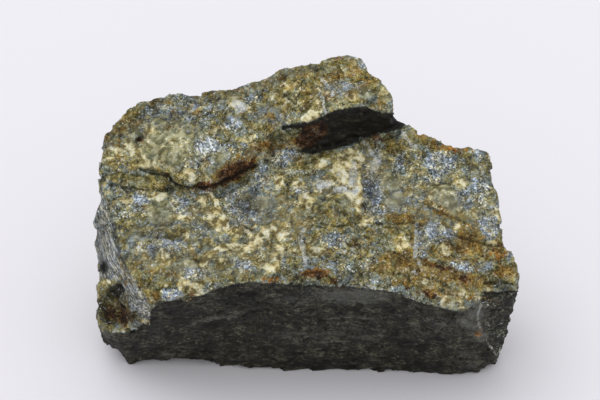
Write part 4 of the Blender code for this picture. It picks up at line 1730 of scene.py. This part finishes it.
# What a full tint multiplies a colour by.
OCHRE_TINT = (1.0, 0.93, 0.68, 1.0)
RUST_TINT = (1.0, 0.86, 0.56, 1.0)
COOL_TINT = (0.86, 0.97, 1.22, 1.0)
WARM_TINT = (1.11, 1.02, 0.68, 1.0)
BLADE_TONES = ((0.05, 118, 122, 122), (0.5, 168, 174, 176), (0.95, 226, 232, 238))
HAZE_GREY = linear(128, 129, 122)
HAZE_WHITE = linear(196, 198, 192)
PAINTED_GLINT_WHITE = linear(232, 234, 230)
RUSTY_GRAIN = linear(158, 100, 42)


class Graph:
    """A node tree, with short ways to add and join its nodes."""

    def __init__(self, tree: bpy.types.NodeTree) -> None:
        """Keeps the tree.

        Args:
            tree: The tree to add nodes to.
        """
        self.tree = tree

    def add(self, kind: str, **settings: object) -> bpy.types.Node:
        """Adds a node.

        Args:
            kind: The node's type, without its ShaderNode prefix.
            settings: The node's own settings.

        Returns:
            The node.
        """
        node = self.tree.nodes.new(kind if kind.startswith("Node") else "ShaderNode" + kind)
        for name, value in settings.items():
            setattr(node, name, value)
        return node

    def feed(self, socket: bpy.types.NodeSocket, value: object) -> None:
        """Joins a socket to another, or sets its own value.

        Args:
            socket: The input.
            value: An output, a number or a colour.
        """
        if isinstance(value, bpy.types.NodeSocket):
            self.tree.links.new(value, socket)
        else:
            socket.default_value = value

    def math(self, operation: str, *values: object, clamp: bool = False) -> bpy.types.NodeSocket:
        """Adds a sum.

        Args:
            operation: What it does.
            values: Its numbers or outputs.
            clamp: Whether the result stays from 0 to 1.

        Returns:
            The result.
        """
        node = self.add("Math", operation=operation, use_clamp=clamp)
        for socket, value in zip(node.inputs, values):
            self.feed(socket, value)
        return node.outputs[0]

    def vector(self, operation: str, *values: object) -> bpy.types.Node:
        """Adds a vector sum.

        Args:
            operation: What it does.
            values: Its vectors or outputs.

        Returns:
            The node.
        """
        node = self.add("VectorMath", operation=operation)
        for socket, value in zip(node.inputs, values):
            self.feed(socket, value)
        return node

    def span(self, value: object, low: float, high: float) -> bpy.types.NodeSocket:
        """Adds a smooth rise from 0 to 1.

        Args:
            value: What is measured.
            low: Where the rise starts.
            high: Where the rise ends.

        Returns:
            The share of the rise.
        """
        node = self.add("MapRange", interpolation_type="SMOOTHSTEP")
        self.feed(node.inputs["Value"], value)
        self.feed(node.inputs["From Min"], low)
        self.feed(node.inputs["From Max"], high)
        return node.outputs["Result"]

    def product(self, first: object, *others: object) -> bpy.types.NodeSocket:
        """Multiplies numbers, one after the other.

        Args:
            first: A number or an output.
            others: More of them, at least one.

        Returns:
            The product.
        """
        for other in others:
            first = self.math("MULTIPLY", first, other)
        return first

    def rest(self, share: object) -> bpy.types.NodeSocket:
        """Takes a share away from 1."""
        return self.math("SUBTRACT", 1.0, share)

    def millimetres(self) -> bpy.types.NodeSocket:
        """Adds the place on the object.

        Returns:
            The place, in millimetres.
        """
        scaled = self.vector("SCALE", self.add("TexCoord").outputs["Object"])
        self.feed(scaled.inputs["Scale"], 1.0 / MM)
        return scaled.outputs[0]

    def mix(self, share: object, first: object, second: object, way: str = "MIX") -> bpy.types.NodeSocket:
        """Mixes two colours.

        Args:
            share: How much of the second.
            first: A colour.
            second: A colour.
            way: How they are mixed. MULTIPLY tints the first with the second.

        Returns:
            The mixed colour.
        """
        node = self.add("Mix", data_type="RGBA", blend_type=way)
        self.feed(node.inputs[0], share)
        self.feed(node.inputs[6], first)
        self.feed(node.inputs[7], second)
        return node.outputs[2]

    def blend(self, share: object, first: object, second: object) -> bpy.types.NodeSocket:
        """Mixes two numbers.

        Args:
            share: How much of the second.
            first: A number.
            second: A number.

        Returns:
            The mixed number.
        """
        node = self.add("Mix", data_type="FLOAT")
        self.feed(node.inputs[0], share)
        self.feed(node.inputs[2], first)
        self.feed(node.inputs[3], second)
        return node.outputs[0]

    def ramp(self, share: object, tones: tuple) -> bpy.types.NodeSocket:
        """Turns a share into a colour.

        Args:
            share: From 0 to 1.
            tones: Each a place from 0 to 1 and a screen colour.

        Returns:
            The colour.
        """
        node = self.add("ValToRGB")
        stops = node.color_ramp.elements
        while len(stops) < len(tones):
            stops.new(0.5)
        for stop, (place, *colour) in zip(stops, tones):
            stop.position = place
            stop.color = linear(*colour)
        self.feed(node.inputs[0], share)
        return node.outputs[0]

    def noise(
        self,
        where: object,
        size: float,
        detail: float = 2.0,
        rough: float = 0.55,
    ) -> bpy.types.NodeSocket:
        """Adds fractal noise.

        Args:
            where: A vector in millimetres.
            size: The size of the largest swells.
            detail: How many times finer swells are added.
            rough: How strong the finer swells are.

        Returns:
            The noise, around a half.
        """
        node = self.add("TexNoise")
        self.feed(node.inputs["Vector"], where)
        self.feed(node.inputs["Scale"], 1.0 / size)
        self.feed(node.inputs["Detail"], detail)
        self.feed(node.inputs["Roughness"], rough)
        return node.outputs["Fac"]

    def attribute(self, name: str) -> bpy.types.NodeSocket:
        """Reads one of the skin's point attributes by its name."""
        return self.add("Attribute", attribute_name=name).outputs["Fac"]

    def use(self, tree: bpy.types.NodeTree, **values: object) -> bpy.types.Node:
        """Places a node group.

        Args:
            tree: The group.
            values: What its inputs get, by name, with underscores for spaces.

        Returns:
            The group's node.
        """
        node = self.add("Group", node_tree=tree)
        for name, value in values.items():
            self.feed(node.inputs[name.replace("_", " ")], value)
        return node


def new_group(name: str, inputs: tuple, outputs: tuple) -> tuple[Graph, bpy.types.Node, bpy.types.Node]:
    """Starts a node group.

    Args:
        name: The group's name.
        inputs: Each input's name, socket type and default.
        outputs: Each output's name and socket type.

    Returns:
        Its graph, and the nodes that hold its inputs and outputs.
    """
    tree = bpy.data.node_groups.new(name, "ShaderNodeTree")
    for label, kind, default in inputs:
        socket = tree.interface.new_socket(label, in_out="INPUT", socket_type=kind)
        if default is not None:
            socket.default_value = default
    for label, kind in outputs:
        tree.interface.new_socket(label, in_out="OUTPUT", socket_type=kind)
    graph = Graph(tree)
    return graph, graph.add("NodeGroupInput"), graph.add("NodeGroupOutput")


# The grains' borders waver: how many swells there are in a millimetre, and how many millimetres they reach.
GRAIN_SWELLS = 2.4
GRAIN_WARP = 0.22
# The width of the seam between two grains, as a share of a grain.
SEAM_WIDTH = 0.16


def ore_grains() -> bpy.types.NodeTree:
    """Builds the group of interlocking grains, each with its own tone, chance and tilted face.

    Returns:
        The group.
    """
    graph, given, result = new_group(
        "ore grains",
        (("Place", "NodeSocketVector", None), ("Size", "NodeSocketFloat", 0.35)),
        (
            ("Tone", "NodeSocketFloat"),
            ("Chance", "NodeSocketFloat"),
            ("Glint", "NodeSocketFloat"),
            ("Face", "NodeSocketFloat"),
            ("Seam", "NodeSocketFloat"),
        ),
    )
    warp = graph.add("TexNoise")
    graph.feed(warp.inputs["Vector"], given.outputs["Place"])
    graph.feed(warp.inputs["Scale"], GRAIN_SWELLS)
    graph.feed(warp.inputs["Detail"], 1.0)
    push = graph.vector("SCALE", warp.outputs["Color"])
    graph.feed(push.inputs["Scale"], GRAIN_WARP)
    where = graph.vector("ADD", given.outputs["Place"], push.outputs[0]).outputs[0]
    closeness = graph.math("DIVIDE", 1.0, given.outputs["Size"])
    cells = graph.add("TexVoronoi")
    graph.feed(cells.inputs["Vector"], where)
    graph.feed(cells.inputs["Scale"], closeness)
    split = graph.add("SeparateColor")
    graph.feed(split.inputs[0], cells.outputs["Color"])
    scaled = graph.vector("SCALE", where)
    graph.feed(scaled.inputs["Scale"], closeness)
    placed = graph.vector("SCALE", cells.outputs["Position"])
    graph.feed(placed.inputs["Scale"], closeness)
    offset = graph.vector("SUBTRACT", scaled.outputs[0], placed.outputs[0])
    lean = graph.vector("SUBTRACT", cells.outputs["Color"], (0.5, 0.5, 0.5))
    face = graph.vector("DOT_PRODUCT", offset.outputs[0], lean.outputs[0]).outputs["Value"]
    borders = graph.add("TexVoronoi", feature="DISTANCE_TO_EDGE")
    graph.feed(borders.inputs["Vector"], where)
    graph.feed(borders.inputs["Scale"], closeness)
    graph.feed(result.inputs["Seam"], graph.rest(graph.span(borders.outputs["Distance"], 0.0, SEAM_WIDTH)))
    graph.feed(result.inputs["Tone"], split.outputs[0])
    graph.feed(result.inputs["Chance"], split.outputs[1])
    graph.feed(result.inputs["Glint"], split.outputs[2])
    graph.feed(result.inputs["Face"], face)
    return graph.tree


def ragged_mask() -> bpy.types.NodeTree:
    """Builds the group that breaks a mineral's edge into swells and single grains.

    Returns:
        The group.
    """
    graph, given, result = new_group(
        "ragged mask",
        (
            ("Share", "NodeSocketFloat", 0.0),
            ("Swell", "NodeSocketFloat", 0.5),
            ("Chance", "NodeSocketFloat", 0.5),
            ("Swell Width", "NodeSocketFloat", 0.8),
            ("Grain Width", "NodeSocketFloat", 0.35),
            ("Softness", "NodeSocketFloat", 0.06),
        ),
        (("Mask", "NodeSocketFloat"),),
    )
    swell = graph.math("SUBTRACT", given.outputs["Swell"], 0.5)
    grain = graph.math("SUBTRACT", given.outputs["Chance"], 0.5)
    moved = graph.math("MULTIPLY_ADD", swell, given.outputs["Swell Width"], given.outputs["Share"])
    moved = graph.math("MULTIPLY_ADD", grain, given.outputs["Grain Width"], moved)
    low = graph.math("SUBTRACT", 0.5, given.outputs["Softness"])
    high = graph.math("ADD", 0.5, given.outputs["Softness"])
    graph.feed(result.inputs["Mask"], graph.span(moved, low, high))
    return graph.tree


class OreMaterial:
    """The ore's material: granular minerals, each with its own finish, laid by the skin's attributes, with
    painted shade and painted glints.
    """

    name: str = "massive stibnite ore"
    specular: float = 0.25
    # Sizes in millimetres.
    grain_size: float = 0.36
    lump_size: float = 0.95
    slate_layer: tuple = (2.0, 1.4, 0.5)
    fibre: tuple = (0.42, 0.42, 5.0)
    # How strongly each thing changes the colour. The shade and the hollows darken it as painted shade, and
    # the glints lighten it as painted highlights.
    stain_strength: float = 0.92
    shade_strength: float = 0.88
    hollow_shade_strength: float = 0.4
    seam_strength: float = 0.6
    rusty_grain_strength: float = 0.32
    painted_glint_strength: float = 0.5
    # The fine relief: the heights that make it up, what the soft minerals lose of it, and its strength and
    # depth.
    face_height: float = 0.36
    lump_face_height: float = 0.24
    speck_height: float = 0.62
    swell_height: float = 0.5
    streak_height: float = 0.5
    soft_loss: float = 0.6
    bump_strength: float = 0.7
    bump_depth: float = 0.12

    def build(self) -> bpy.types.Material:
        """Builds the material.

        Returns:
            The material.
        """
        material, shader = new_material(self.name)
        self.graph = Graph(material.node_tree)
        self.read_place()
        colour, rough, metal = self.mineral_layers()
        self.graph.feed(shader.inputs["Base Color"], colour)
        self.graph.feed(shader.inputs["Roughness"], rough)
        self.graph.feed(shader.inputs["Metallic"], metal)
        self.graph.feed(shader.inputs["Normal"], self.fine_relief())
        self.graph.feed(shader.inputs["Specular IOR Level"], self.specular)
        return material

    def read_place(self) -> None:
        """Reads the place on the specimen, its noise and its grains."""
        g = self.graph
        self.place = g.millimetres()
        self.drift = g.noise(self.place, 4.5, 2.0)
        self.speck = g.noise(self.place, 0.34, 2.0, 0.6)
        self.pink = self.mottle(31.0, (3.2, 6.0, 0.93), (0.3, 0.7))
        self.warmth = self.mottle(53.0, (2.2, 3.0, 0.75), (0.36, 0.64))
        self.calm = self.mottle(17.0, (1.5, 2.0, 0.5), (0.3, 0.7))
        self.masks = ragged_mask()
        grouped = ore_grains()
        grains = g.use(grouped, Place=self.place, Size=self.grain_size)
        lumps = g.use(grouped, Place=self.moved(7.0), Size=self.lump_size)
        self.tone, self.chance = grains.outputs["Tone"], grains.outputs["Chance"]
        self.glint, self.face = grains.outputs["Glint"], grains.outputs["Face"]
        self.lump_tone, self.lump_face = lumps.outputs["Tone"], lumps.outputs["Face"]
        swell = g.noise(self.place, 2.5, 4.0, 0.62)
        self.swell = g.blend(0.16, swell, lumps.outputs["Chance"])
        solid = g.math("MAXIMUM", g.attribute(Kind.CREAM.value), g.attribute(Kind.QUARTZ.value))
        loose = g.rest(g.span(solid, 0.3, 0.5))
        self.seam = g.product(lumps.outputs["Seam"], g.span(self.drift, 0.42, 0.62), loose)
        self.slaty_streaks = self.slaty_noise()
        self.fibre_streaks = self.fibrous_noise()

    def moved(self, distance: float) -> bpy.types.NodeSocket:
        """Moves the place, so that a second texture doesn't repeat the first.

        Args:
            distance: How far, in millimetres.

        Returns:
            The moved place.
        """
        return self.graph.vector("ADD", self.place, (distance, -distance, 0.5 * distance)).outputs[0]

    def mottle(self, distance: float, grain: tuple, ends: tuple) -> bpy.types.NodeSocket:
        """Adds noise and spreads it over 0 to 1.

        Args:
            distance: How far it is moved, in millimetres.
            grain: Its size, its detail and how rough it is.
            ends: The values that become 0 and 1.

        Returns:
            The spread noise.
        """
        return self.graph.span(self.graph.noise(self.moved(distance), *grain), *ends)

    def mixed_tone(self, *parts: tuple) -> bpy.types.NodeSocket:
        """Adds up textures by their weights, and spreads the sum over 0 to 1.

        Args:
            parts: Each a texture and its weight. The weights add up to 1.

        Returns:
            The tone.
        """
        g = self.graph
        total = 0.0
        for texture, weight in parts:
            total = g.math("MULTIPLY_ADD", texture, weight, total)
        return g.span(total, 0.2, 0.8)

    def slaty_noise(self) -> bpy.types.NodeSocket:
        """Adds noise drawn out across the slate, along its arched layers.

        Returns:
            The noise, around a half.
        """
        g = self.graph
        apart = g.add("SeparateXYZ")
        g.feed(apart.inputs[0], self.place)
        x, y, z = apart.outputs
        side = g.math("SUBTRACT", x, ARCH_MIDDLE)
        arch = g.math("MULTIPLY_ADD", g.product(side, side), ARCH_FALL, z)
        arch = g.math("MULTIPLY_ADD", self.drift, 3.0, arch)
        joined = g.add("CombineXYZ")
        for socket, value, length in zip(joined.inputs, (x, y, arch), self.slate_layer):
            g.feed(socket, g.math("DIVIDE", value, length))
        return g.noise(joined.outputs[0], 1.0, 3.0, 0.62)

    def fibrous_noise(self) -> bpy.types.NodeSocket:
        """Adds noise drawn out along the rubbed facet.

        Returns:
            The noise, around a half.
        """
        g = self.graph
        joined = g.add("CombineXYZ")
        for socket, axis, length in zip(joined.inputs, FIBRE_AXES.tolist(), self.fibre):
            run = g.vector("DOT_PRODUCT", self.place, axis).outputs["Value"]
            g.feed(socket, g.math("DIVIDE", g.math("MULTIPLY_ADD", self.drift, 0.8, run), length))
        return g.noise(joined.outputs[0], 1.0, 3.0, 0.7)

    def mask(
        self,
        kind: Kind,
        swell: float,
        grain: float,
        softness: float,
        gain: float = 0.0,
    ) -> bpy.types.NodeSocket:
        """Adds a mineral's mask.

        Args:
            kind: The mineral.
            swell: How far swells move its edge.
            grain: How far single grains do.
            softness: How soft the edge is.
            gain: How much is added to its share.

        Returns:
            The mask.
        """
        share = self.graph.attribute(kind.value)
        node = self.graph.use(
            self.masks,
            Share=self.graph.math("ADD", share, gain) if gain else share,
            Swell=self.swell,
            Chance=self.glint if kind in (Kind.RUST, Kind.ORANGE, Kind.OLIVE) else self.chance,
            Swell_Width=swell,
            Grain_Width=grain,
            Softness=softness,
        )
        return node.outputs["Mask"]

    def mineral_layers(self) -> tuple:
        """Lays the minerals over each other.

        Returns:
            The colour, the roughness and the metallic share.
        """
        g = self.graph
        granular = self.mixed_tone(
            (self.pink, 0.36), (self.calm, 0.28), (self.tone, 0.26), (self.lump_tone, 0.1)
        )
        # The sulphide's tone follows the grains' random glint value, so its grains run from painted dark
        # facets to painted glints; strong sulphide patches are lifted towards white as painted sparkle.
        metallic = self.mixed_tone((self.pink, 0.4), (self.glint, 0.5), (self.lump_tone, 0.1))
        sparkling = g.span(g.attribute(Kind.SULPHIDE.value), 0.95, 1.35)
        metallic = g.math("MULTIPLY_ADD", sparkling, 0.18, metallic, clamp=True)
        smooth = self.mixed_tone((self.calm, 0.55), (self.pink, 0.3), (self.tone, 0.15))
        slaty_streak = g.span(self.slaty_streaks, 0.3, 0.7)
        fibrous_streak = g.span(self.fibre_streaks, 0.3, 0.7)
        slaty = self.mixed_tone((slaty_streak, 0.32), (self.pink, 0.5), (self.tone, 0.18))
        fibrous = self.mixed_tone((fibrous_streak, 0.55), (self.pink, 0.25), (self.tone, 0.2))
        quartz = self.mask(Kind.QUARTZ, 1.2, 0.2, 0.08)
        cream = self.mask(Kind.CREAM, 1.7, 0.2, 0.07)
        vein = self.mask(Kind.VEIN, 1.2, 0.3, 0.08)
        self.soft = g.math("MAXIMUM", quartz, cream)
        self.even = g.math("MAXIMUM", g.math("MAXIMUM", self.soft, vein), g.attribute(Kind.FACET.value))
        looks = (g.ramp(granular, MATRIX.tones), MATRIX.roughness, MATRIX.metallic)
        layers = (
            (OLIVE_ORE, self.mask(Kind.OLIVE, 1.7, 0.3, 0.1), granular),
            (QUARTZ_ORE, quartz, smooth),
            (SULPHIDE_AND_PAINTED_GLINTS, self.mask(Kind.SULPHIDE, 1.5, 0.5, 0.05), metallic),
            (RUBBED_FACET, self.mask(Kind.FACET, 0.7, 0.2, 0.08), fibrous),
            (SLATE, self.mask(Kind.SLATE, 0.5, 0.15, 0.05), slaty),
        )
        for finish, mask, tone in layers:
            looks = self.covered(looks, finish, mask, tone)
        colour, rough, metal = self.stained(looks, cream, vein, smooth)
        return self.darkened(self.speckled(colour)), rough, metal

    def stained(
        self,
        looks: tuple,
        cream: bpy.types.NodeSocket,
        vein: bpy.types.NodeSocket,
        smooth: bpy.types.NodeSocket,
    ) -> tuple:
        """Lays the haze, the tints around the stains, and the stains themselves.

        Args:
            looks: The ore's colour, roughness and metallic share.
            cream: Where the cream ochre lies.
            vein: Where the veins are.
            smooth: The tone of the smooth minerals.

        Returns:
            The new colour, roughness and metallic share.
        """
        g = self.graph
        colour, rough, metal = looks
        earth = self.mixed_tone((self.pink, 0.6), (g.span(self.speck, 0.2, 0.8), 0.25), (self.tone, 0.15))
        strong = g.span(g.attribute(Kind.HAZE.value), 0.9, 1.9)
        cover = g.product(self.mask(Kind.HAZE, 1.0, 0.4, 0.35), g.blend(strong, 0.35, 0.7))
        colour = g.mix(cover, colour, g.mix(strong, HAZE_GREY, HAZE_WHITE))
        colour = g.mix(self.mask(Kind.CREAM, 1.4, 0.2, 0.2, 0.15), colour, OCHRE_TINT, "MULTIPLY")
        colour = g.mix(self.mask(Kind.RUST, 1.4, 0.2, 0.2, 0.15), colour, RUST_TINT, "MULTIPLY")
        looks = (colour, rough, metal)
        stains = (
            (RUST_STAIN, self.mask(Kind.RUST, 1.8, 0.4, 0.12), earth),
            (ORANGE_STAIN, self.mask(Kind.ORANGE, 1.5, 0.3, 0.12), earth),
            (CREAM_OCHRE, cream, smooth),
            (UMBER_STAIN, self.mask(Kind.UMBER, 1.5, 0.3, 0.14), earth),
            (WHITE_VEIN, vein, earth),
        )
        for finish, mask, tone in stains:
            looks = self.covered(looks, finish, mask, tone, self.stain_strength)
        return looks

    def covered(
        self,
        looks: tuple,
        finish: Finish,
        mask: bpy.types.NodeSocket,
        tone: bpy.types.NodeSocket,
        strength: float = 1.0,
    ) -> tuple:
        """Lays one mineral over what is there.

        Args:
            looks: The colour, the roughness and the metallic share so far.
            finish: The mineral's finish.
            mask: Where it lies.
            tone: How light it is, from 0 to 1.
            strength: How far its colour covers the others.

        Returns:
            The new colour, roughness and metallic share.
        """
        g = self.graph
        colour, rough, metal = looks
        cover = mask if strength == 1.0 else g.product(mask, strength)
        return (
            g.mix(cover, colour, g.ramp(tone, finish.tones)),
            g.blend(mask, rough, finish.roughness),
            g.blend(mask, metal, finish.metallic),
        )

    def darkened(self, colour: bpy.types.NodeSocket) -> bpy.types.NodeSocket:
        """Darkens the colour: painted shade in the shade patches and in the hollows, and the dark seams
        between lumps.

        Args:
            colour: The ore's colour.

        Returns:
            The darkened colour.
        """
        g = self.graph
        shade = g.product(self.mask(Kind.SHADE, 0.6, 0.2, 0.4), self.shade_strength)
        # Painted shade in the hollows, found from the skin's curvature.
        hollow = g.product(g.span(g.attribute("hollow"), 0.5, 0.9), self.hollow_shade_strength)
        seam = g.product(self.seam, self.seam_strength)
        dark = g.vector("SCALE", colour)
        g.feed(dark.inputs["Scale"], g.product(g.rest(shade), g.rest(hollow), g.rest(seam)))
        return dark.outputs[0]

    def speckled(self, colour: bpy.types.NodeSocket) -> bpy.types.NodeSocket:
        """Makes grains warmer or cooler than each other, and paints a few of them white as glints.

        Args:
            colour: The minerals' colour.

        Returns:
            The speckled colour.
        """
        g = self.graph
        plain = g.rest(g.span(g.attribute(Kind.SLATE.value), 0.3, 0.6))
        warm = g.math("MULTIPLY_ADD", self.chance, 0.2, g.product(self.warmth, 0.8))
        tint = g.mix(g.span(warm, 0.15, 0.85), COOL_TINT, WARM_TINT)
        calm = g.math("MULTIPLY_ADD", self.even, -0.6, 1.0)
        tinting = g.product(g.math("MULTIPLY_ADD", plain, 0.8, 0.2), calm)
        colour = g.mix(tinting, colour, tint, "MULTIPLY")
        rusty = g.product(g.span(self.tone, 0.86, 0.9), g.span(self.warmth, 0.45, 0.9), plain, calm)
        colour = g.mix(g.product(rusty, self.rusty_grain_strength), colour, RUSTY_GRAIN)
        # Painted highlights: a few grains are mixed towards white, as glints off their faces.
        glints = g.product(g.span(self.glint, 0.93, 0.97), g.span(self.pink, 0.35, 0.7), plain)
        return g.mix(g.product(glints, self.painted_glint_strength), colour, PAINTED_GLINT_WHITE)

    def fine_relief(self) -> bpy.types.NodeSocket:
        """Adds the relief that is finer than the skin's own points.

        Returns:
            The normal.
        """
        g = self.graph
        plain = g.rest(g.span(g.attribute(Kind.SLATE.value), 0.4, 0.6))
        lump_faces = g.product(self.lump_face, self.lump_face_height)
        faces = g.math("MULTIPLY_ADD", self.face, self.face_height, lump_faces)
        height = g.product(faces, plain)
        height = g.math("MULTIPLY_ADD", self.speck, self.speck_height, height)
        height = g.math("MULTIPLY_ADD", self.swell, self.swell_height, height)
        height = g.product(height, g.math("MULTIPLY_ADD", self.soft, -self.soft_loss, 1.0))
        height = g.math("MULTIPLY_ADD", self.slaty_streaks, self.streak_height, height)
        bump = g.add("Bump")
        g.feed(bump.inputs["Strength"], self.bump_strength)
        g.feed(bump.inputs["Distance"], self.bump_depth * MM)
        g.feed(bump.inputs["Height"], height)
        return bump.outputs["Normal"]


@dataclass
class Studio:
    """The plain pale floor and the soft light around the specimen."""

    floor_radius: float = 4000.0
    sky_strength: float = 0.86
    sun_strength: float = 0.7
    sun_spread: float = 50.0
    sun_place: tuple = (-0.4, 0.3, 1.0)
    floor_colour: tuple = (0.83, 0.83, 0.905, 1.0)
    floor_roughness: float = 0.9
    floor_specular: float = 0.1
    sky_colour: tuple = (1.0, 0.985, 0.955, 1.0)

    def build(self) -> None:
        """Makes the floor and the lights."""
        self.floor()
        self.sky()
        self.sun()

    def floor(self) -> None:
        """Makes the floor, a wide disc at the level that the specimen rests on."""
        disc = bmesh.new()
        bmesh.ops.create_circle(disc, cap_ends=True, segments=64, radius=self.floor_radius * MM)
        mesh = bpy.data.meshes.new("studio_floor")
        disc.to_mesh(mesh)
        disc.free()
        floor = bpy.data.objects.new("studio_floor", mesh)
        bpy.context.scene.collection.objects.link(floor)
        material, shader = new_material("pale floor")
        shader.inputs["Base Color"].default_value = self.floor_colour
        shader.inputs["Roughness"].default_value = self.floor_roughness
        shader.inputs["Specular IOR Level"].default_value = self.floor_specular
        mesh.materials.append(material)

    def sky(self) -> None:
        """Makes the even light from all round."""
        world = bpy.data.worlds.new("soft room")
        world.use_nodes = True
        room = world.node_tree.nodes["Background"]
        room.inputs["Color"].default_value = self.sky_colour
        room.inputs["Strength"].default_value = self.sky_strength
        bpy.context.scene.world = world

    def sun(self) -> None:
        """Makes the broad soft light from above, behind the specimen's left."""
        light = bpy.data.lights.new("soft sun", "SUN")
        light.energy = self.sun_strength
        light.angle = math.radians(self.sun_spread)
        lamp = bpy.data.objects.new("soft sun", light)
        bpy.context.scene.collection.objects.link(lamp)
        lamp.rotation_mode = "QUATERNION"
        lamp.rotation_quaternion = (-Vector(self.sun_place)).to_track_quat("-Z", "Y")


def main() -> None:
    """Builds the specimen's looks in order, and reports each piece."""
    logging.basicConfig(level=logging.INFO, format="%(name)s: %(message)s")
    bpy.context.scene.view_settings.view_transform = "Standard"
    view = PhotoView()
    view.build()
    Studio().build()
    lump = OreLump(view)
    skin = lump.build(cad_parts[NODE])
    lump.dress(skin)
    log.info("%s: %d faces", skin.name, len(skin.data.polygons))
    sparkles = StibniteBlades()
    blades = sparkles.build(skin)
    sparkles.dress(blades)
    log.info("%s: %d faces", blades.name, len(blades.data.polygons))


if __name__ == "__main__":
    main()
